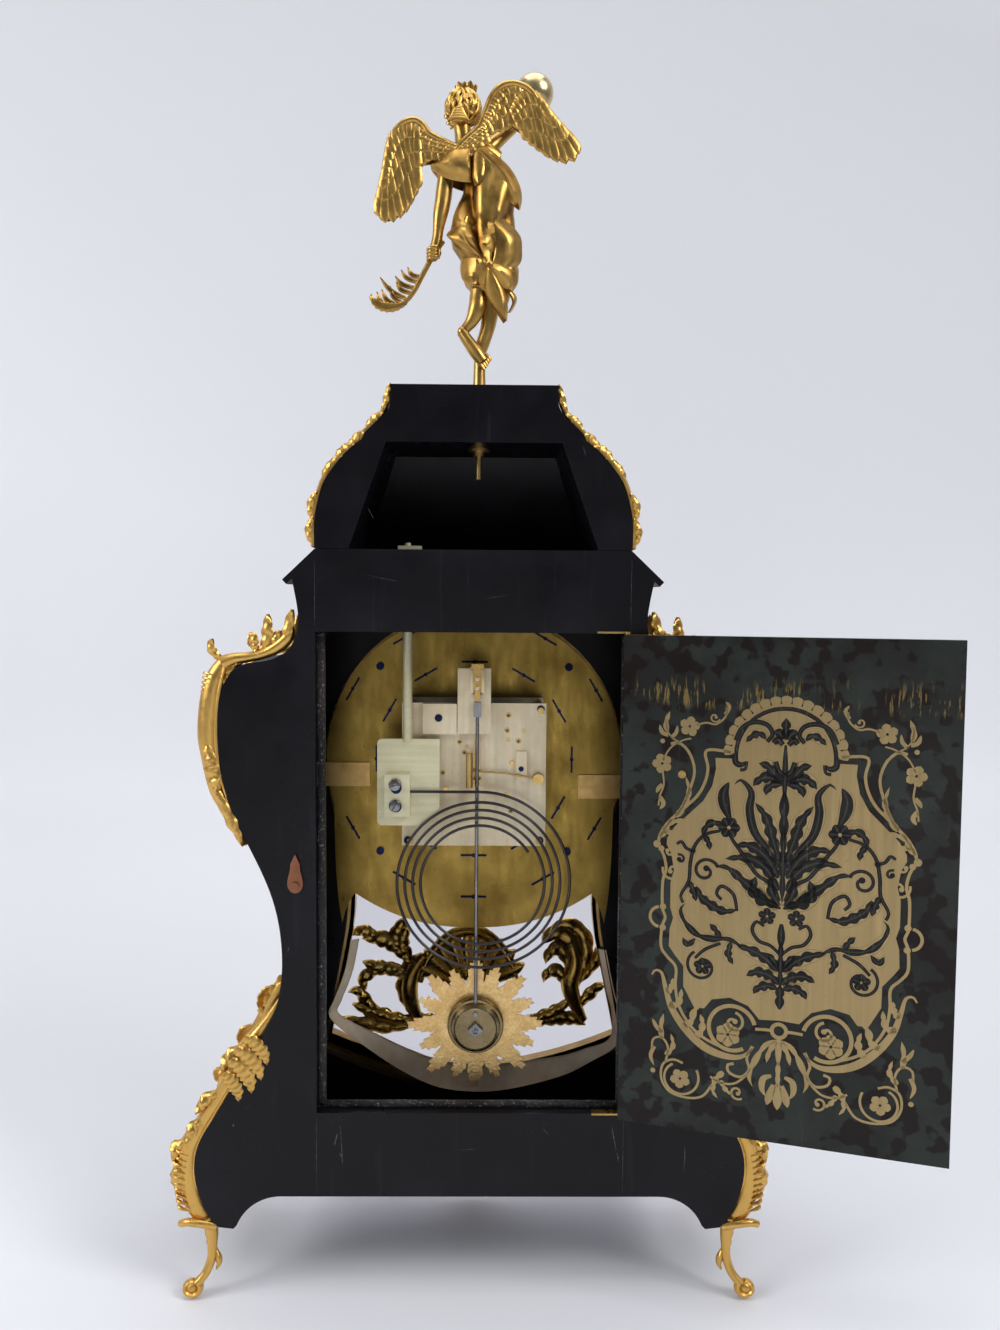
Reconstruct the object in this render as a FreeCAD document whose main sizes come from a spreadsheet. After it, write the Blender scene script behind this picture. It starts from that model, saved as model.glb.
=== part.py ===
"""Bracket clock with a waisted case, a lift-off dome and a glazed front, as separate fitted pieces.

Millimetres. +Z is up and the floor is z = 0. The dial faces -Y and the rear door is at +Y.
"""
import FreeCAD, Part
import math
import os
from FreeCAD import Placement, Rotation, Vector

SIZES = {
    # carcase
    "caseRear": 75.0, "boardThick": 8.0, "frontRear": -57.0, "caseTop": 626.0, "wallThick": 7.0,
    "openingHalf": 127.7, "openingSill": 159.6, "openingHead": 559.4, "railFoot": 88.0, "floorBase": 95.0,
    "corniceFoot": 619.0,
    # rear door
    "doorHalf": 126.4, "doorSill": 160.1, "doorHead": 558.9, "doorThick": 10.0, "doorAxisX": -125.3,
    "doorAxisY": 76.0, "doorOpen": 162.8, "leafLong": 27.0, "leafWide": 8.0, "leafThick": 1.5, "pinRadius": 1.2,
    "runGap": 0.05, "knuckleRadius": 2.2, "buttonX": 144.1, "buttonZ": 351.5, "buttonThick": 2.5,
    # front door
    "frontDoorRear": -65.5, "frontDoorThick": 12.5, "glassThick": 2.5, "frontAxisX": -158.0,
    "frontAxisY": -78.6, "frontKnuckle": 2.5, "frontKnuckleLong": 24.0,
    # dome
    "domeTop": 757.0, "domeFront": -66.0, "ceiling": 711.5, "jointHalf": 52.0,
    "domeOpenBase": 100.6, "domeOpenHead": 70.6, "figureX": -3.4, "figureY": 33.0, "studRadius": 2.5,
    "studFoot": 686.6, "postTop": 794.0, "globeRadius": 16.0,
    # movement
    "plateSide": 124.0, "plateThick": 3.0, "backPlateRear": 25.0, "frontPlateRear": -28.0,
    "plateX": -0.7, "plateZ": 435.3, "pillarInset": 4.9, "pillarRadius": 3.5, "arborRadius": 1.5,
    "barrelArbor": 2.5, "cannonRadius": 3.0, "hourPipe": 4.0, "dialX": 0.0, "dialZ": 439.0,
    "dialRear": -40.0, "dialThick": 2.0, "dialRadius": 136.0, "cartoucheRing": 110.0,
    # going train, motion work and striking train: teeth and modules
    "greatTeeth": 72, "greatModule": 0.7, "centrePinion": 9, "centreTeeth": 64, "centreModule": 0.6,
    "thirdPinion": 8, "thirdTeeth": 60, "thirdModule": 0.5, "escapePinion": 8, "escapeTeeth": 30,
    "escapeModule": 0.8, "cannonTeeth": 12, "minuteTeeth": 36, "motionModule": 0.8, "minutePinion": 9,
    "hourTeeth": 36, "pinPinion": 9, "pinTeeth": 60, "warnPinion": 8, "warnTeeth": 54, "flyPinion": 8,
    "palletReach": 17.0,
    # pendulum and crutch
    "pendulumX": -3.4, "pendulumY": 35.5, "rodRadius": 1.5, "bobZ": 217.0,
    "bobRadius": 24.5, "bobThick": 14.0, "sunRadius": 60.4, "sunThick": 1.5, "crutchRear": 27.8,
    # gong and hammer
    "gongY": 43.0, "gongTop": 423.5, "gongTurnX": -6.2, "gongWire": 1.25,
    "gongRadius": 76.8, "gongFirstStep": 2.2, "gongStep": 1.66, "gongRod": 4.0, "gongRodX": 55.7,
    "hammerX": -55.9, "hammerZ": 432.7, "hammerY": 30.7,
    # mounts
    "mountGap": 0.1, "mountWide": 36.0,
}
# half-widths and heights along the side of the case, from the foot up to the eaves
CASE_SIDE = [(210, 61.5), (227.5, 95), (227.5, 128), (209, 161), (181, 209), (160, 252), (155.6, 290),
             (163, 339), (187, 393), (203, 434), (206.8, 475), (202.5, 514), (190, 530.5), (168, 535.5),
             (149, 545), (141.5, 563), (142.5, 583), (146, 601.7)]
DOME_SIDE = [(128, 626.3), (127.3, 650), (119.5, 679), (102, 703.5), (89, 714)]
DOME_NECK = [(88, 718), (80, 725.5), (71, 734), (67, 746)]

os.makedirs("parts", exist_ok=True)
doc = FreeCAD.newDocument("bracket_clock")
sheet = doc.addObject("Spreadsheet::Sheet", "sizes")
for row, (alias, value) in enumerate(SIZES.items(), start=1):
    sheet.set("A%d" % row, alias)
    sheet.set("B%d" % row, str(value))
    sheet.setAlias("B%d" % row, alias)
doc.recompute()

NODES = {}
ALONG = {"x": Rotation(Vector(0, 1, 0), 90), "y": Rotation(Vector(1, 0, 0), -90), "z": Rotation()}


def size(alias):
    return float(sheet.get(alias))


def keep(thing):
    """Mark an object as one of the clock's own pieces."""
    NODES[thing.Label] = thing
    return thing


def bind(thing, **formulas):
    for prop, formula in formulas.items():
        thing.setExpression(prop.replace("_", "."), str(formula))
    return thing


def place(thing, x="0", y="0", z="0"):
    for axis, formula in (("x", x), ("y", y), ("z", z)):
        thing.setExpression("Placement.Base." + axis, str(formula))
    return thing


def flat(point):
    return Vector(point[0], point[1], 0)


def curve_through(points):
    curve = Part.BSplineCurve()
    curve.interpolate([flat(point) for point in points])
    return curve


def path(start, *steps):
    """Outline edges. A step is a point, ("arc", through, end) or ("curve", point, point, ...)."""
    edges = []
    here = start
    for step in steps:
        if step[0] == "arc":
            edges.append(Part.Arc(flat(here), flat(step[1]), flat(step[2])))
            here = step[2]
        elif step[0] == "curve":
            edges.append(curve_through((here,) + tuple(step[1:])))
            here = step[-1]
        else:
            edges.append(Part.LineSegment(flat(here), flat(step)))
            here = step
    return edges


def flipped(step, sign):
    """The same outline step on the other side of the middle."""
    if step[0] in ("arc", "curve"):
        return (step[0],) + tuple((sign * x, z) for x, z in step[1:])
    return (sign * step[0], step[1])


def one_side(sign, start, *steps):
    return path(flipped(start, sign), *[flipped(step, sign) for step in steps])


def both_sides(start, *steps):
    """An outline drawn from the middle line round to the middle line, and mirrored."""
    return one_side(1, start, *steps) + one_side(-1, start, *steps)


def circle(x, z, radius):
    return Part.Circle(Vector(x, z, 0), Vector(0, 0, 1), radius)


def padded(name, role, edges, thick, **where):
    """A piece cut from flat stock: its outline on an origin plane, padded to its thickness."""
    body = doc.addObject("PartDesign::Body", name)
    plane = [feature for feature in body.Origin.OriginFeatures if feature.Role == role][0]
    sketch = body.newObject("Sketcher::SketchObject", name + "_outline")
    sketch.AttachmentSupport = (plane, [""])
    sketch.MapMode = "FlatFace"
    sketch.addGeometry(edges, False)
    pad = body.newObject("PartDesign::Pad", name + "_pad")
    pad.Profile = sketch
    pad.setExpression("Length", str(thick))
    return place(body, **where)


def upright(name, edges, thick, rear, x="0", z="0"):
    """A plate standing across the case, drawn in x and z, from its rear face towards the dial."""
    return padded(name, "XZ_Plane", edges, thick, x=x, y=rear, z=z)


def box(name, long, wide, high, x, y, z):
    return place(bind(doc.addObject("Part::Box", name), Length=long, Width=wide, Height=high), x, y, z)


def rod(name, radius, long, x, y, z, along="y"):
    item = doc.addObject("Part::Cylinder", name)
    item.Placement = Placement(Vector(), ALONG[along])
    return place(bind(item, Radius=radius, Height=long), x, y, z)


def fused(name, *parts):
    item = doc.addObject("Part::MultiFuse", name)
    item.Shapes = list(parts)
    return item


def cut(name, base, *tools):
    item = doc.addObject("Part::Cut", name)
    item.Base = base
    item.Tool = tools[0] if len(tools) == 1 else fused(name + "_tools", *tools)
    return item


def common(name, first, second):
    item = doc.addObject("Part::Common", name)
    item.Base = first
    item.Tool = second
    return item


def group(name, *parts):
    """Like pieces that are bought or cast as a set, each its own solid."""
    item = doc.addObject("Part::Compound", name)
    item.Links = list(parts)
    return item


def shaped(name, shape):
    item = doc.addObject("Part::Feature", name)
    item.Shape = shape
    return item


def turned(start, angle, reach):
    """A point at a distance and an angle in degrees, measured from +x towards +z."""
    return (start[0] + reach * math.cos(math.radians(angle)), start[1] + reach * math.sin(math.radians(angle)))


# ---- carcase ----

def offset_curve(points, distance, first=0, last=None):
    """The curve through some points, from one of them to another, moved outwards by a distance."""
    last = len(points) - 1 if last is None else last
    side = curve_through(points)
    low, high = (side.parameter(flat(points[index])) for index in (first, last))
    count = 4 * (last - first)
    moved = []
    for step in range(count + 1):
        at = low + (high - low) * step / count
        tangent = side.tangent(at)[0]
        spot = side.value(at)
        moved.append((spot.x + distance * tangent.y, spot.y - distance * tangent.x))
    return moved


def side_offset(distance, first, last):
    return offset_curve(CASE_SIDE, distance, first, last)


def bracket_foot(sign):
    """The cut-out under the case, from the rail out to the tip of the wooden foot."""
    return one_side(sign, (157, 88), ("arc", (181, 80.5), (194.5, 63)), (197.5, 60), CASE_SIDE[0])


def make_back_stile(name, sign):
    inner = size("openingHalf")
    foot = size("railFoot")
    top = size("corniceFoot")
    edges = bracket_foot(sign)
    edges += one_side(sign, CASE_SIDE[0], ("curve",) + tuple(CASE_SIDE[1:]), (inner, top), (inner, foot), (157, foot))
    if sign > 0:
        edges.append(circle(size("buttonX"), size("buttonZ"), size("pinRadius") + size("runGap")))
    return keep(upright(name, edges, "sizes.boardThick", "sizes.caseRear"))


def make_rails():
    wide = "2 * sizes.openingHalf"
    rear = "sizes.caseRear - sizes.boardThick"
    plates = []
    for end, z in (("head", "sizes.openingHead"), ("foot", "sizes.openingSill - sizes.leafThick")):
        plates.append(box("plate_seat_" + end, "sizes.leafLong", "sizes.boardThick", "sizes.leafThick",
                          "-sizes.openingHalf", rear, z))
    top = box("top_rail_blank", wide, "sizes.boardThick", "sizes.caseTop - sizes.openingHead",
              "-sizes.openingHalf", rear, "sizes.openingHead")
    foot = box("foot_rail_blank", wide, "sizes.boardThick", "sizes.openingSill - sizes.railFoot",
               "-sizes.openingHalf", rear, "sizes.railFoot")
    keep(cut("back_top_rail", top, plates[0]))
    keep(cut("back_bottom_rail", foot, plates[1]))


def make_side_wall(name, sign):
    last = len(CASE_SIDE) - 1
    inner = side_offset(-size("wallThick"), 0, last)
    steps = [("curve",) + tuple(CASE_SIDE[1:]), inner[-1], ("curve",) + tuple(reversed(inner[:-1])), CASE_SIDE[0]]
    edges = one_side(sign, CASE_SIDE[0], *steps)
    return keep(upright(name, edges, "sizes.caseRear - sizes.boardThick - sizes.frontRear",
                        "sizes.caseRear - sizes.boardThick"))


def front_opening(margin):
    """The waisted light of the front: round the dial above, the pendulum window below."""
    foot = 134.8 - 3.8 * margin
    corner = (135.5 + margin, 169 - 2.4 * margin)
    side = [(121 + margin, 240), (113 + margin, 305), (126 + margin, 385), (133 + margin, 439)]
    crown = (0, size("dialZ") + 133 + margin)
    shoulder = turned((0, size("dialZ")), 45, 133 + margin)
    half = [("curve", (corner[0] / 2, (foot + corner[1]) / 2 - 6), corner), ("curve",) + tuple(side),
            ("arc", shoulder, crown)]
    return both_sides((0, foot), *half)


def make_front_board():
    top = size("corniceFoot")
    inner = size("openingHalf")
    edges = front_opening(6)
    for sign in (1, -1):
        edges += bracket_foot(sign)
        edges += one_side(sign, (0, 45), ("curve", (80, 60), (157, 88)))
        edges += one_side(sign, CASE_SIDE[0], ("curve",) + tuple(CASE_SIDE[1:]), (inner, top),
                          (inner, size("caseTop")), (0, size("caseTop")))
    return keep(upright("front_board", edges, "sizes.boardThick", "sizes.frontRear"))


def make_boards():
    rear = "sizes.frontRear"
    deep = "sizes.caseRear - sizes.boardThick - sizes.frontRear"
    top = box("top_board_blank", "2 * sizes.openingHalf", deep, "sizes.boardThick",
              "-sizes.openingHalf", rear, "sizes.caseTop - sizes.boardThick")
    hole = rod("gong_rod_hole", "sizes.gongRod", "2 * sizes.boardThick", "sizes.gongRodX", "37.5",
               "sizes.caseTop - 1.5 * sizes.boardThick", "z")
    keep(cut("case_top_board", top, hole))
    keep(box("case_floor_board", "440", deep, "sizes.boardThick", "-220", rear, "sizes.floorBase"))


def make_cornice():
    """A sloping board mitred round both sides and the front, under the dome."""
    half = size("openingHalf")
    rear = size("caseRear")
    front = size("frontRear") - size("boardThick")
    high = size("caseTop")
    low = size("corniceFoot")
    profile = [(0, high), (26.3, 601), (22.9, 597.4), (0, low)]
    corners = [Vector(half + out, rear, z) for out, z in profile]
    section = Part.makePolygon(corners + corners[:1])
    spine = Part.makePolygon([Vector(half, rear, high), Vector(half, front, high), Vector(-half, front, high),
                              Vector(-half, rear, high)])
    solid = spine.makePipeShell([section], True, False, 1)
    return keep(shaped("cornice_boards", solid))


def shoulder_mount_edges(sign):
    inner = side_offset(size("mountGap"), 8, 15)
    outer = [("curve", (202.5, 401), (216.3, 428.3), (223.8, 460), (225, 485), (221.4, 512.8), (215.6, 531.4),
              (211.9, 549)), ("curve", (203.5, 548), (201.3, 539.5), (189.8, 538.6), (179.5, 541)),
             ("curve", (177.4, 553), (171.6, 561), (164.9, 573.8)), ("curve", (160.1, 565), (153.1, 565.5),
                                                                  (147.7, 575.2)), inner[-1]]
    return one_side(sign, inner[0], *outer, ("curve",) + tuple(reversed(inner[:-1])))


def foot_mount_edges(sign):
    inner = side_offset(size("mountGap"), 0, 5)
    crest = [("curve", (172.8, 233.5), (189, 213.5), (199, 216.5), (204.1, 209.6), (201.5, 198), (207.7, 187),
              (217, 178.4), (218.5, 166), (230, 156), (234, 146), (238, 134), (246, 126), (246.5, 113.9),
              (243.5, 100.7), (245.5, 87.6), (246, 74.4), (239, 61), (227, 53.5))]
    leg = [("curve", (222, 42), (221.8, 27), (226.5, 15.5)), ("arc", (241.8, 8), (236, 0)), (230, 0),
           ("curve", (219, 8), (213.4, 25), (214.2, 42), (210.6, 56)), inner[0]]
    return one_side(sign, inner[-1], *crest, *leg, ("curve",) + tuple(inner[1:]))


def make_corner_mounts(name, outline, rears):
    """Gilt castings at the four corners, left and right from one pattern."""
    castings = []
    for corner, rear in rears.items():
        for side, sign in (("right", 1), ("left", -1)):
            castings.append(upright("%s_%s_%s" % (name, corner, side), outline(sign), "sizes.mountWide", rear))
    return keep(group(name, *castings))


def make_apron_mount():
    edges = both_sides((0, 8), ("curve", (9, 26), (30, 44), (60, 84)), ("curve", (44, 92), (22, 84), (0, 87)))
    return keep(upright("apron_mount", edges, "sizes.boardThick", "sizes.frontRear - sizes.boardThick"))


# ---- hinges, latch and doors ----

def make_rear_door():
    thick = "sizes.doorThick"
    rear = "sizes.caseRear - sizes.doorThick"
    panel = box("rear_door_blank", "2 * sizes.doorHalf", thick, "sizes.doorHead - sizes.doorSill",
                "-sizes.doorHalf", rear, "sizes.doorSill")
    seats = []
    leaves = []
    levels = {"foot": ("sizes.doorSill", "sizes.doorSill - 1.8"),
              "head": ("sizes.doorHead - sizes.leafThick", "sizes.doorHead - sizes.leafThick")}
    for end, (z, pin_z) in levels.items():
        start = "-sizes.doorHalf"
        width = "sizes.leafWide"
        leaf_rear = "sizes.caseRear - sizes.leafWide"
        seats.append(box("leaf_seat_" + end, "sizes.leafLong", width, "sizes.leafThick", start, leaf_rear, z))
        leaf = box("leaf_plate_" + end, "sizes.leafLong", width, "sizes.leafThick", start, leaf_rear, z)
        eye = rod("leaf_eye_" + end, "sizes.knuckleRadius", "sizes.leafThick", "sizes.doorAxisX",
                  "sizes.doorAxisY", z, "z")
        pin = rod("leaf_pin_" + end, "sizes.pinRadius", "sizes.leafThick + 1.8", "sizes.doorAxisX",
                  "sizes.doorAxisY", pin_z, "z")
        leaves.append(fused("hinge_leaf_" + end, leaf, eye, pin))
    knob = rod("rear_door_knob", "3", "7", "-sizes.doorHalf + 48.4", rear + " - 7", "450")
    opened = Placement(Vector(), Rotation(Vector(0, 0, 1), size("doorOpen")),
                       Vector(size("doorAxisX"), size("doorAxisY"), 0))
    for thing in (cut("rear_door_panel", panel, *seats), group("rear_door_brasses", *leaves, knob)):
        doc.recompute()
        thing.Placement = opened
        keep(thing)


def make_case_brasses():
    """The fixed halves of both doors' hinges: plates for the rear door, pins for the front one."""
    pieces = []
    for end, z in (("head", "sizes.openingHead"), ("foot", "sizes.openingSill - sizes.leafThick")):
        plate = box("hinge_plate_" + end, "sizes.leafLong", "sizes.boardThick", "sizes.leafThick",
                    "-sizes.openingHalf", "sizes.caseRear - sizes.boardThick", z)
        ear = rod("hinge_ear_" + end, "sizes.knuckleRadius", "sizes.leafThick", "sizes.doorAxisX",
                  "sizes.doorAxisY", z, "z")
        hole = rod("hinge_hole_" + end, "sizes.pinRadius + sizes.runGap", "3 * sizes.leafThick", "sizes.doorAxisX",
                   "sizes.doorAxisY", z + " - sizes.leafThick", "z")
        pieces.append(cut("hinge_socket_" + end, fused("hinge_both_" + end, plate, ear), hole))
    half = size("frontKnuckleLong") / 2
    for end, z in (("upper", 439), ("lower", 175)):
        pin = rod("front_pin_" + end, "sizes.pinRadius", 2 * half + 6, "sizes.frontAxisX", "sizes.frontAxisY",
                  z - half - 3, "z")
        arms = [box("front_arm_%s_%d" % (end, level), 4.2, 15.2, 2.7, "sizes.frontAxisX - 3", -80.2, level)
                for level in (z - half - 3, z + half + 0.3)]
        pieces.append(fused("front_hinge_" + end, pin, *arms))
    return keep(group("case_brasses", *pieces))


def make_turn_button():
    """A pointed brass catch that turns on its screw and holds the rear door shut."""
    waist = 5.9
    edges = path((-3.2, -4.9), ("arc", (0, -5.9), (3.2, -4.9)), ("curve", (waist, -1), (5.2, 9), (3.9, 18)),
                 (0, 26.2), (-3.9, 18), ("curve", (-5.2, 9), (-waist, -1), (-3.2, -4.9)))
    plate = upright("button_plate", edges, "sizes.buttonThick", "sizes.caseRear + 0.3 + sizes.buttonThick",
                    "sizes.buttonX", "sizes.buttonZ")
    screw = rod("button_screw", "sizes.pinRadius", "sizes.boardThick", "sizes.buttonX", "sizes.caseRear - 6",
                "sizes.buttonZ")
    head = rod("button_head", "3.4", "1.5", "sizes.buttonX", "sizes.caseRear + 0.3 + sizes.buttonThick",
               "sizes.buttonZ")
    return keep(fused("turn_button", plate, screw, head))


def make_front_door():
    dial = size("dialZ")
    outer = both_sides((0, 92), ("curve", (75, 106), (152, 140)), ("curve", (142, 235), (135, 300), (147, 375),
                                                                  (155, 439)), ("arc", (112, 546), (0, dial + 153)))
    keep(upright("front_door_frame", outer + front_opening(0), "sizes.frontDoorThick", "sizes.frontDoorRear"))
    keep(upright("front_door_glass", front_opening(3.5), "sizes.glassThick",
                 "sizes.frontDoorRear + sizes.glassThick"))
    halves = []
    for end, z in (("upper", 439), ("lower", 175)):
        start = z - size("frontKnuckleLong") / 2
        tube = rod("front_tube_" + end, "sizes.frontKnuckle", "sizes.frontKnuckleLong", "sizes.frontAxisX",
                   "sizes.frontAxisY", start, "z")
        leaf = box("front_leaf_" + end, 18, 1.2, "sizes.frontKnuckleLong", "sizes.frontAxisX", -79.2, start)
        bore = rod("front_bore_" + end, "sizes.pinRadius + sizes.runGap", "sizes.frontKnuckleLong + 2",
                   "sizes.frontAxisX", "sizes.frontAxisY", start - 1, "z")
        halves.append(cut("front_knuckle_" + end, fused("front_both_" + end, tube, leaf), bore))
    keep(group("front_door_knuckles", *halves))


def scroll(centre, start, sweep, radius, wire, y):
    """A C-scroll of round stock: one arc of a circle, standing in an upright plane."""
    points = [turned(centre, start + sweep * share, radius) for share in (0, 0.5, 1)]
    spots = [Vector(x, y, z) for x, z in points]
    arc = Part.Arc(*spots).toShape()
    spine = Part.Wire([arc])
    ring = Part.Wire([Part.Circle(spots[0], spine.Edges[0].tangentAt(spine.Edges[0].FirstParameter), wire).toShape()])
    return spine.makePipeShell([ring], True, False)


def make_front_ornament():
    """Gilt scrolls and a shell that cross the pendulum window, on the face of the front door."""
    y = size("frontDoorRear") - size("frontDoorThick") - 5
    parts = [scroll((-78, 246), 200, -250, 30, 5, y), scroll((86, 236), -20, 250, 32, 5, y),
             scroll((-112, 205), 60, -150, 22, 4.5, y), scroll((118, 200), 120, 150, 20, 4.5, y)]
    shell = Part.makeSphere(34, Vector(4, y, 262))
    band = Part.makeBox(300, 10, 300, Vector(-150, y - 5, 100))
    rail = Part.makeBox(250, 8, 10, Vector(-125, y - 3, 172))
    solid = parts[0].multiFuse(parts[1:] + [shell.common(band), rail])
    return keep(shaped("front_door_ornament", solid))


# ---- dome and figure ----

def make_dome():
    """The bell-shaped top: side and front curves meet at mitres, and the back is open."""
    neck = [("curve",) + tuple(DOME_SIDE[1:]), DOME_NECK[0], ("curve",) + tuple(DOME_NECK[1:]), (67, size("domeTop")),
            (0, size("domeTop"))]
    base = DOME_SIDE[0]
    across = upright("dome_across", both_sides((0, base[1]), base, *neck), "200", "sizes.caseRear")
    half = DOME_SIDE[0][0]
    front = size("domeFront")

    def forward(point):
        return (front + half - point[0], point[1])

    steps = [forward(base), ("curve",) + tuple(forward(p) for p in DOME_SIDE[1:]), forward(DOME_NECK[0]),
             ("curve",) + tuple(forward(p) for p in DOME_NECK[1:]), forward((67, size("domeTop"))),
             (size("caseRear"), size("domeTop")), (size("caseRear"), base[1])]
    along = padded("dome_along", "YZ_Plane", path((size("caseRear"), base[1]), *steps), "300", x="-150")
    bell = common("dome_bell", across, along)
    low = size("domeOpenBase")
    high = size("domeOpenHead")
    rear = size("caseRear") + 1
    ceiling = size("ceiling")

    def ring(half_wide, front_y, z):
        corners = [Vector(half_wide, rear, z), Vector(-half_wide, rear, z), Vector(-half_wide, front_y, z),
                   Vector(half_wide, front_y, z)]
        return Part.makePolygon(corners + corners[:1])

    hollow = shaped("dome_hollow", Part.makeLoft([ring(low, front + 16, base[1]), ring(high, front + 50, ceiling)],
                                                 True, True))
    hole = rod("dome_stud_hole", "sizes.studRadius", "80", "sizes.figureX", "sizes.figureY", "sizes.domeTop - 79", "z")
    lip = "sizes.caseRear - sizes.boardThick"
    deep = box("dome_keep_front", 300, 200, 200, -150, "sizes.caseRear - sizes.boardThick - 200", 600)
    hollowed = cut("dome_hollowed", bell, hollow, hole)
    keep(common("dome_shell", hollowed, deep))
    rail_zone = box("dome_rail_zone", "2 * sizes.jointHalf", "sizes.boardThick", 100, "-sizes.jointHalf", lip,
                    "sizes.ceiling")
    zones = [rail_zone]
    for side, sign in (("right", 1), ("left", -1)):
        inner = [(52, ceiling), (52, 800), (200, 800), (200, 600), (low, 600), (low, base[1]), (high, ceiling),
                 (52, ceiling)]
        zones.append(upright("dome_stile_zone_" + side, one_side(sign, inner[0], *inner[1:]), "sizes.boardThick",
                             "sizes.caseRear"))
    pieces = [common("dome_piece_%d" % count, across, zone) for count, zone in enumerate(zones)]
    keep(group("dome_back_frame", *pieces))


def make_dome_mounts():
    """Gilt strips up both rear edges of the dome."""
    strips = []
    near, far = ([offset_curve(points, distance) for points in (DOME_SIDE, DOME_NECK)]
                 for distance in (size("mountGap"), 5.5))
    top = size("domeTop")
    for side, sign in (("right", 1), ("left", -1)):
        edges = one_side(sign, near[0][0], far[0][0], ("curve",) + tuple(far[0][1:]), far[1][0],
                         ("curve",) + tuple(far[1][1:]), (far[1][-1][0], top), (near[1][-1][0], top), near[1][-1],
                         ("curve",) + tuple(reversed(near[1][:-1])), near[0][-1],
                         ("curve",) + tuple(reversed(near[0][:-1])))
        strips.append(upright("dome_strip_" + side, edges, 22, "sizes.caseRear - 1"))
    return keep(group("dome_mounts", *strips))


def limb(points, y):
    """A length of round section through points given as x, z, radius and how far each stands back."""
    spots = [Vector(x, y + back, z) for x, z, radius, back in points]
    rings = []
    for count, spot in enumerate(spots):
        ahead = spots[min(count + 1, len(spots) - 1)] - spots[max(count - 1, 0)]
        rings.append(Part.Wire([Part.Circle(spot, ahead, points[count][2]).toShape()]))
    return Part.makeLoft(rings, True, False)


def make_figure():
    """A winged woman in a loose robe, stepping forward on one foot, one arm down and one raised."""
    y = size("figureY")
    post_top = size("postTop")
    rings = []
    for x, z, wide, deep in ((9, 962, 11, 7), (4, 952, 18, 10), (0, 932, 20, 12), (-7, 908, 25, 16),
                             (-9, 882, 28, 20), (-13, 856, 23, 18), (-11, 836, 14, 12), (-10, 822, 8, 8)):
        rings.append(Part.Wire([Part.Ellipse(Vector(x, y, z), wide, deep).toShape()]))
    robe = Part.makeLoft(rings, True, False)
    neck = limb([(12.6, 984, 6, 0), (11.6, 972, 5.4, 0), (11, 956, 7, 0)], y)
    head = limb([(12.5, 979.5, 5, -3), (12.5, 984, 8.5, -2.5), (12.5, 991, 11, -1.5), (12.6, 998, 11.3, 0),
                 (12.9, 1004, 9.6, 1), (13.4, 1008.5, 6, 2), (13.6, 1010.5, 2.5, 2)], y)
    lowered_arm = limb([(20, 953, 6.5, 0), (25, 942, 7.5, 0), (30.9, 914.6, 5, 2), (30.8, 884, 3.6, 2),
                        (32, 874, 4.6, 2), (33, 866, 3, 2)], y)
    raised_arm = limb([(0, 944, 8, -2), (-8, 957, 7, -4), (-32, 978, 5, -12), (-40, 988, 3.6, -13),
                       (-44, 995, 3.8, -13)], y)
    bent_leg = limb([(-6, 848, 9, 2), (-1, 836, 8, 2), (2.5, 818, 6, 2), (9, 807, 4.6, 4), (4, 797, 4.2, 7),
                     (-10, 783, 3.2, 8)], y)
    straight_leg = limb([(-10, 836, 8, -3), (-8, 822, 6, -3), (-4, 803, 4.2, -1), (-3.4, post_top, 3.6, 0)], y)
    keep(shaped("figure", robe.multiFuse([neck, head, lowered_arm, raised_arm, bent_leg, straight_leg])))


def make_wings():
    """Two wings, fixed behind the shoulders."""
    right = path((8, 957), ("curve", (17.8, 949), (44.2, 947), (48.3, 925.6), (59.8, 906), (72, 896), (84.5, 897.8)),
                 ("curve", (82, 925), (80, 950), (74.7, 969.4), (56, 982.4), (38, 972), (8, 957)))
    left = path((-5, 957), ("curve", (-9, 985), (-17.2, 1012), (-28.6, 1014), (-43.5, 1009), (-60.9, 989.4),
                          (-76.8, 971), (-87.7, 954.9)),
                ("curve", (-77, 946.5), (-58, 952.6), (-38.9, 965), (-28.9, 974), (-5, 957)))
    rear = "sizes.figureY + 12"
    keep(group("figure_wings", upright("wing_right", right, 4.5, rear), upright("wing_left", left, 4.5, rear)))


def make_palm():
    """A palm branch held point down, its leaves all on the upper side."""
    stem = [(33.5, 868), (40.6, 855), (49, 838), (62, 827), (78, 824)]
    edges = path(stem[0], ("curve",) + tuple(stem[1:]), (86.5, 838))
    leaves = [(79, 834), (80, 846), (72, 836), (71, 850), (64, 839), (62, 853), (56, 844), (53, 856), (48, 850),
              (44, 861), (40, 862), stem[0]]
    edges += path((86.5, 838), *leaves)
    keep(upright("palm_branch", edges, 2.4, "sizes.figureY + 3.2"))


def make_figure_stud():
    """The tapered post under the figure, with the stud and washer that hold it through the dome."""
    top = size("domeTop")
    x, y = size("figureX"), size("figureY")
    post = bind(doc.addObject("Part::Cone", "figure_post"), Radius1=5.5, Radius2=4.2,
                Height="sizes.postTop - sizes.domeTop")
    place(post, "sizes.figureX", "sizes.figureY", "sizes.domeTop")
    collar = bind(doc.addObject("Part::Torus", "figure_collar"), Radius1=5.2, Radius2=1.8)
    place(collar, "sizes.figureX", "sizes.figureY", "sizes.domeTop + 1.8")
    stud = rod("figure_shank", "sizes.studRadius", top - size("studFoot"), x, y, "sizes.studFoot", "z")
    washer = rod("figure_washer", 9, 2, x, y, "sizes.ceiling - 2", "z")
    nut = rod("figure_nut", 5, 4, x, y, "sizes.ceiling - 6", "z")
    keep(fused("figure_stud", post, collar, stud, washer, nut))
    keep(shaped("figure_globe", Part.makeSphere(size("globeRadius"), Vector(-47.6, y - 13, 1007.6))))


# ---- trains ----

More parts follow.
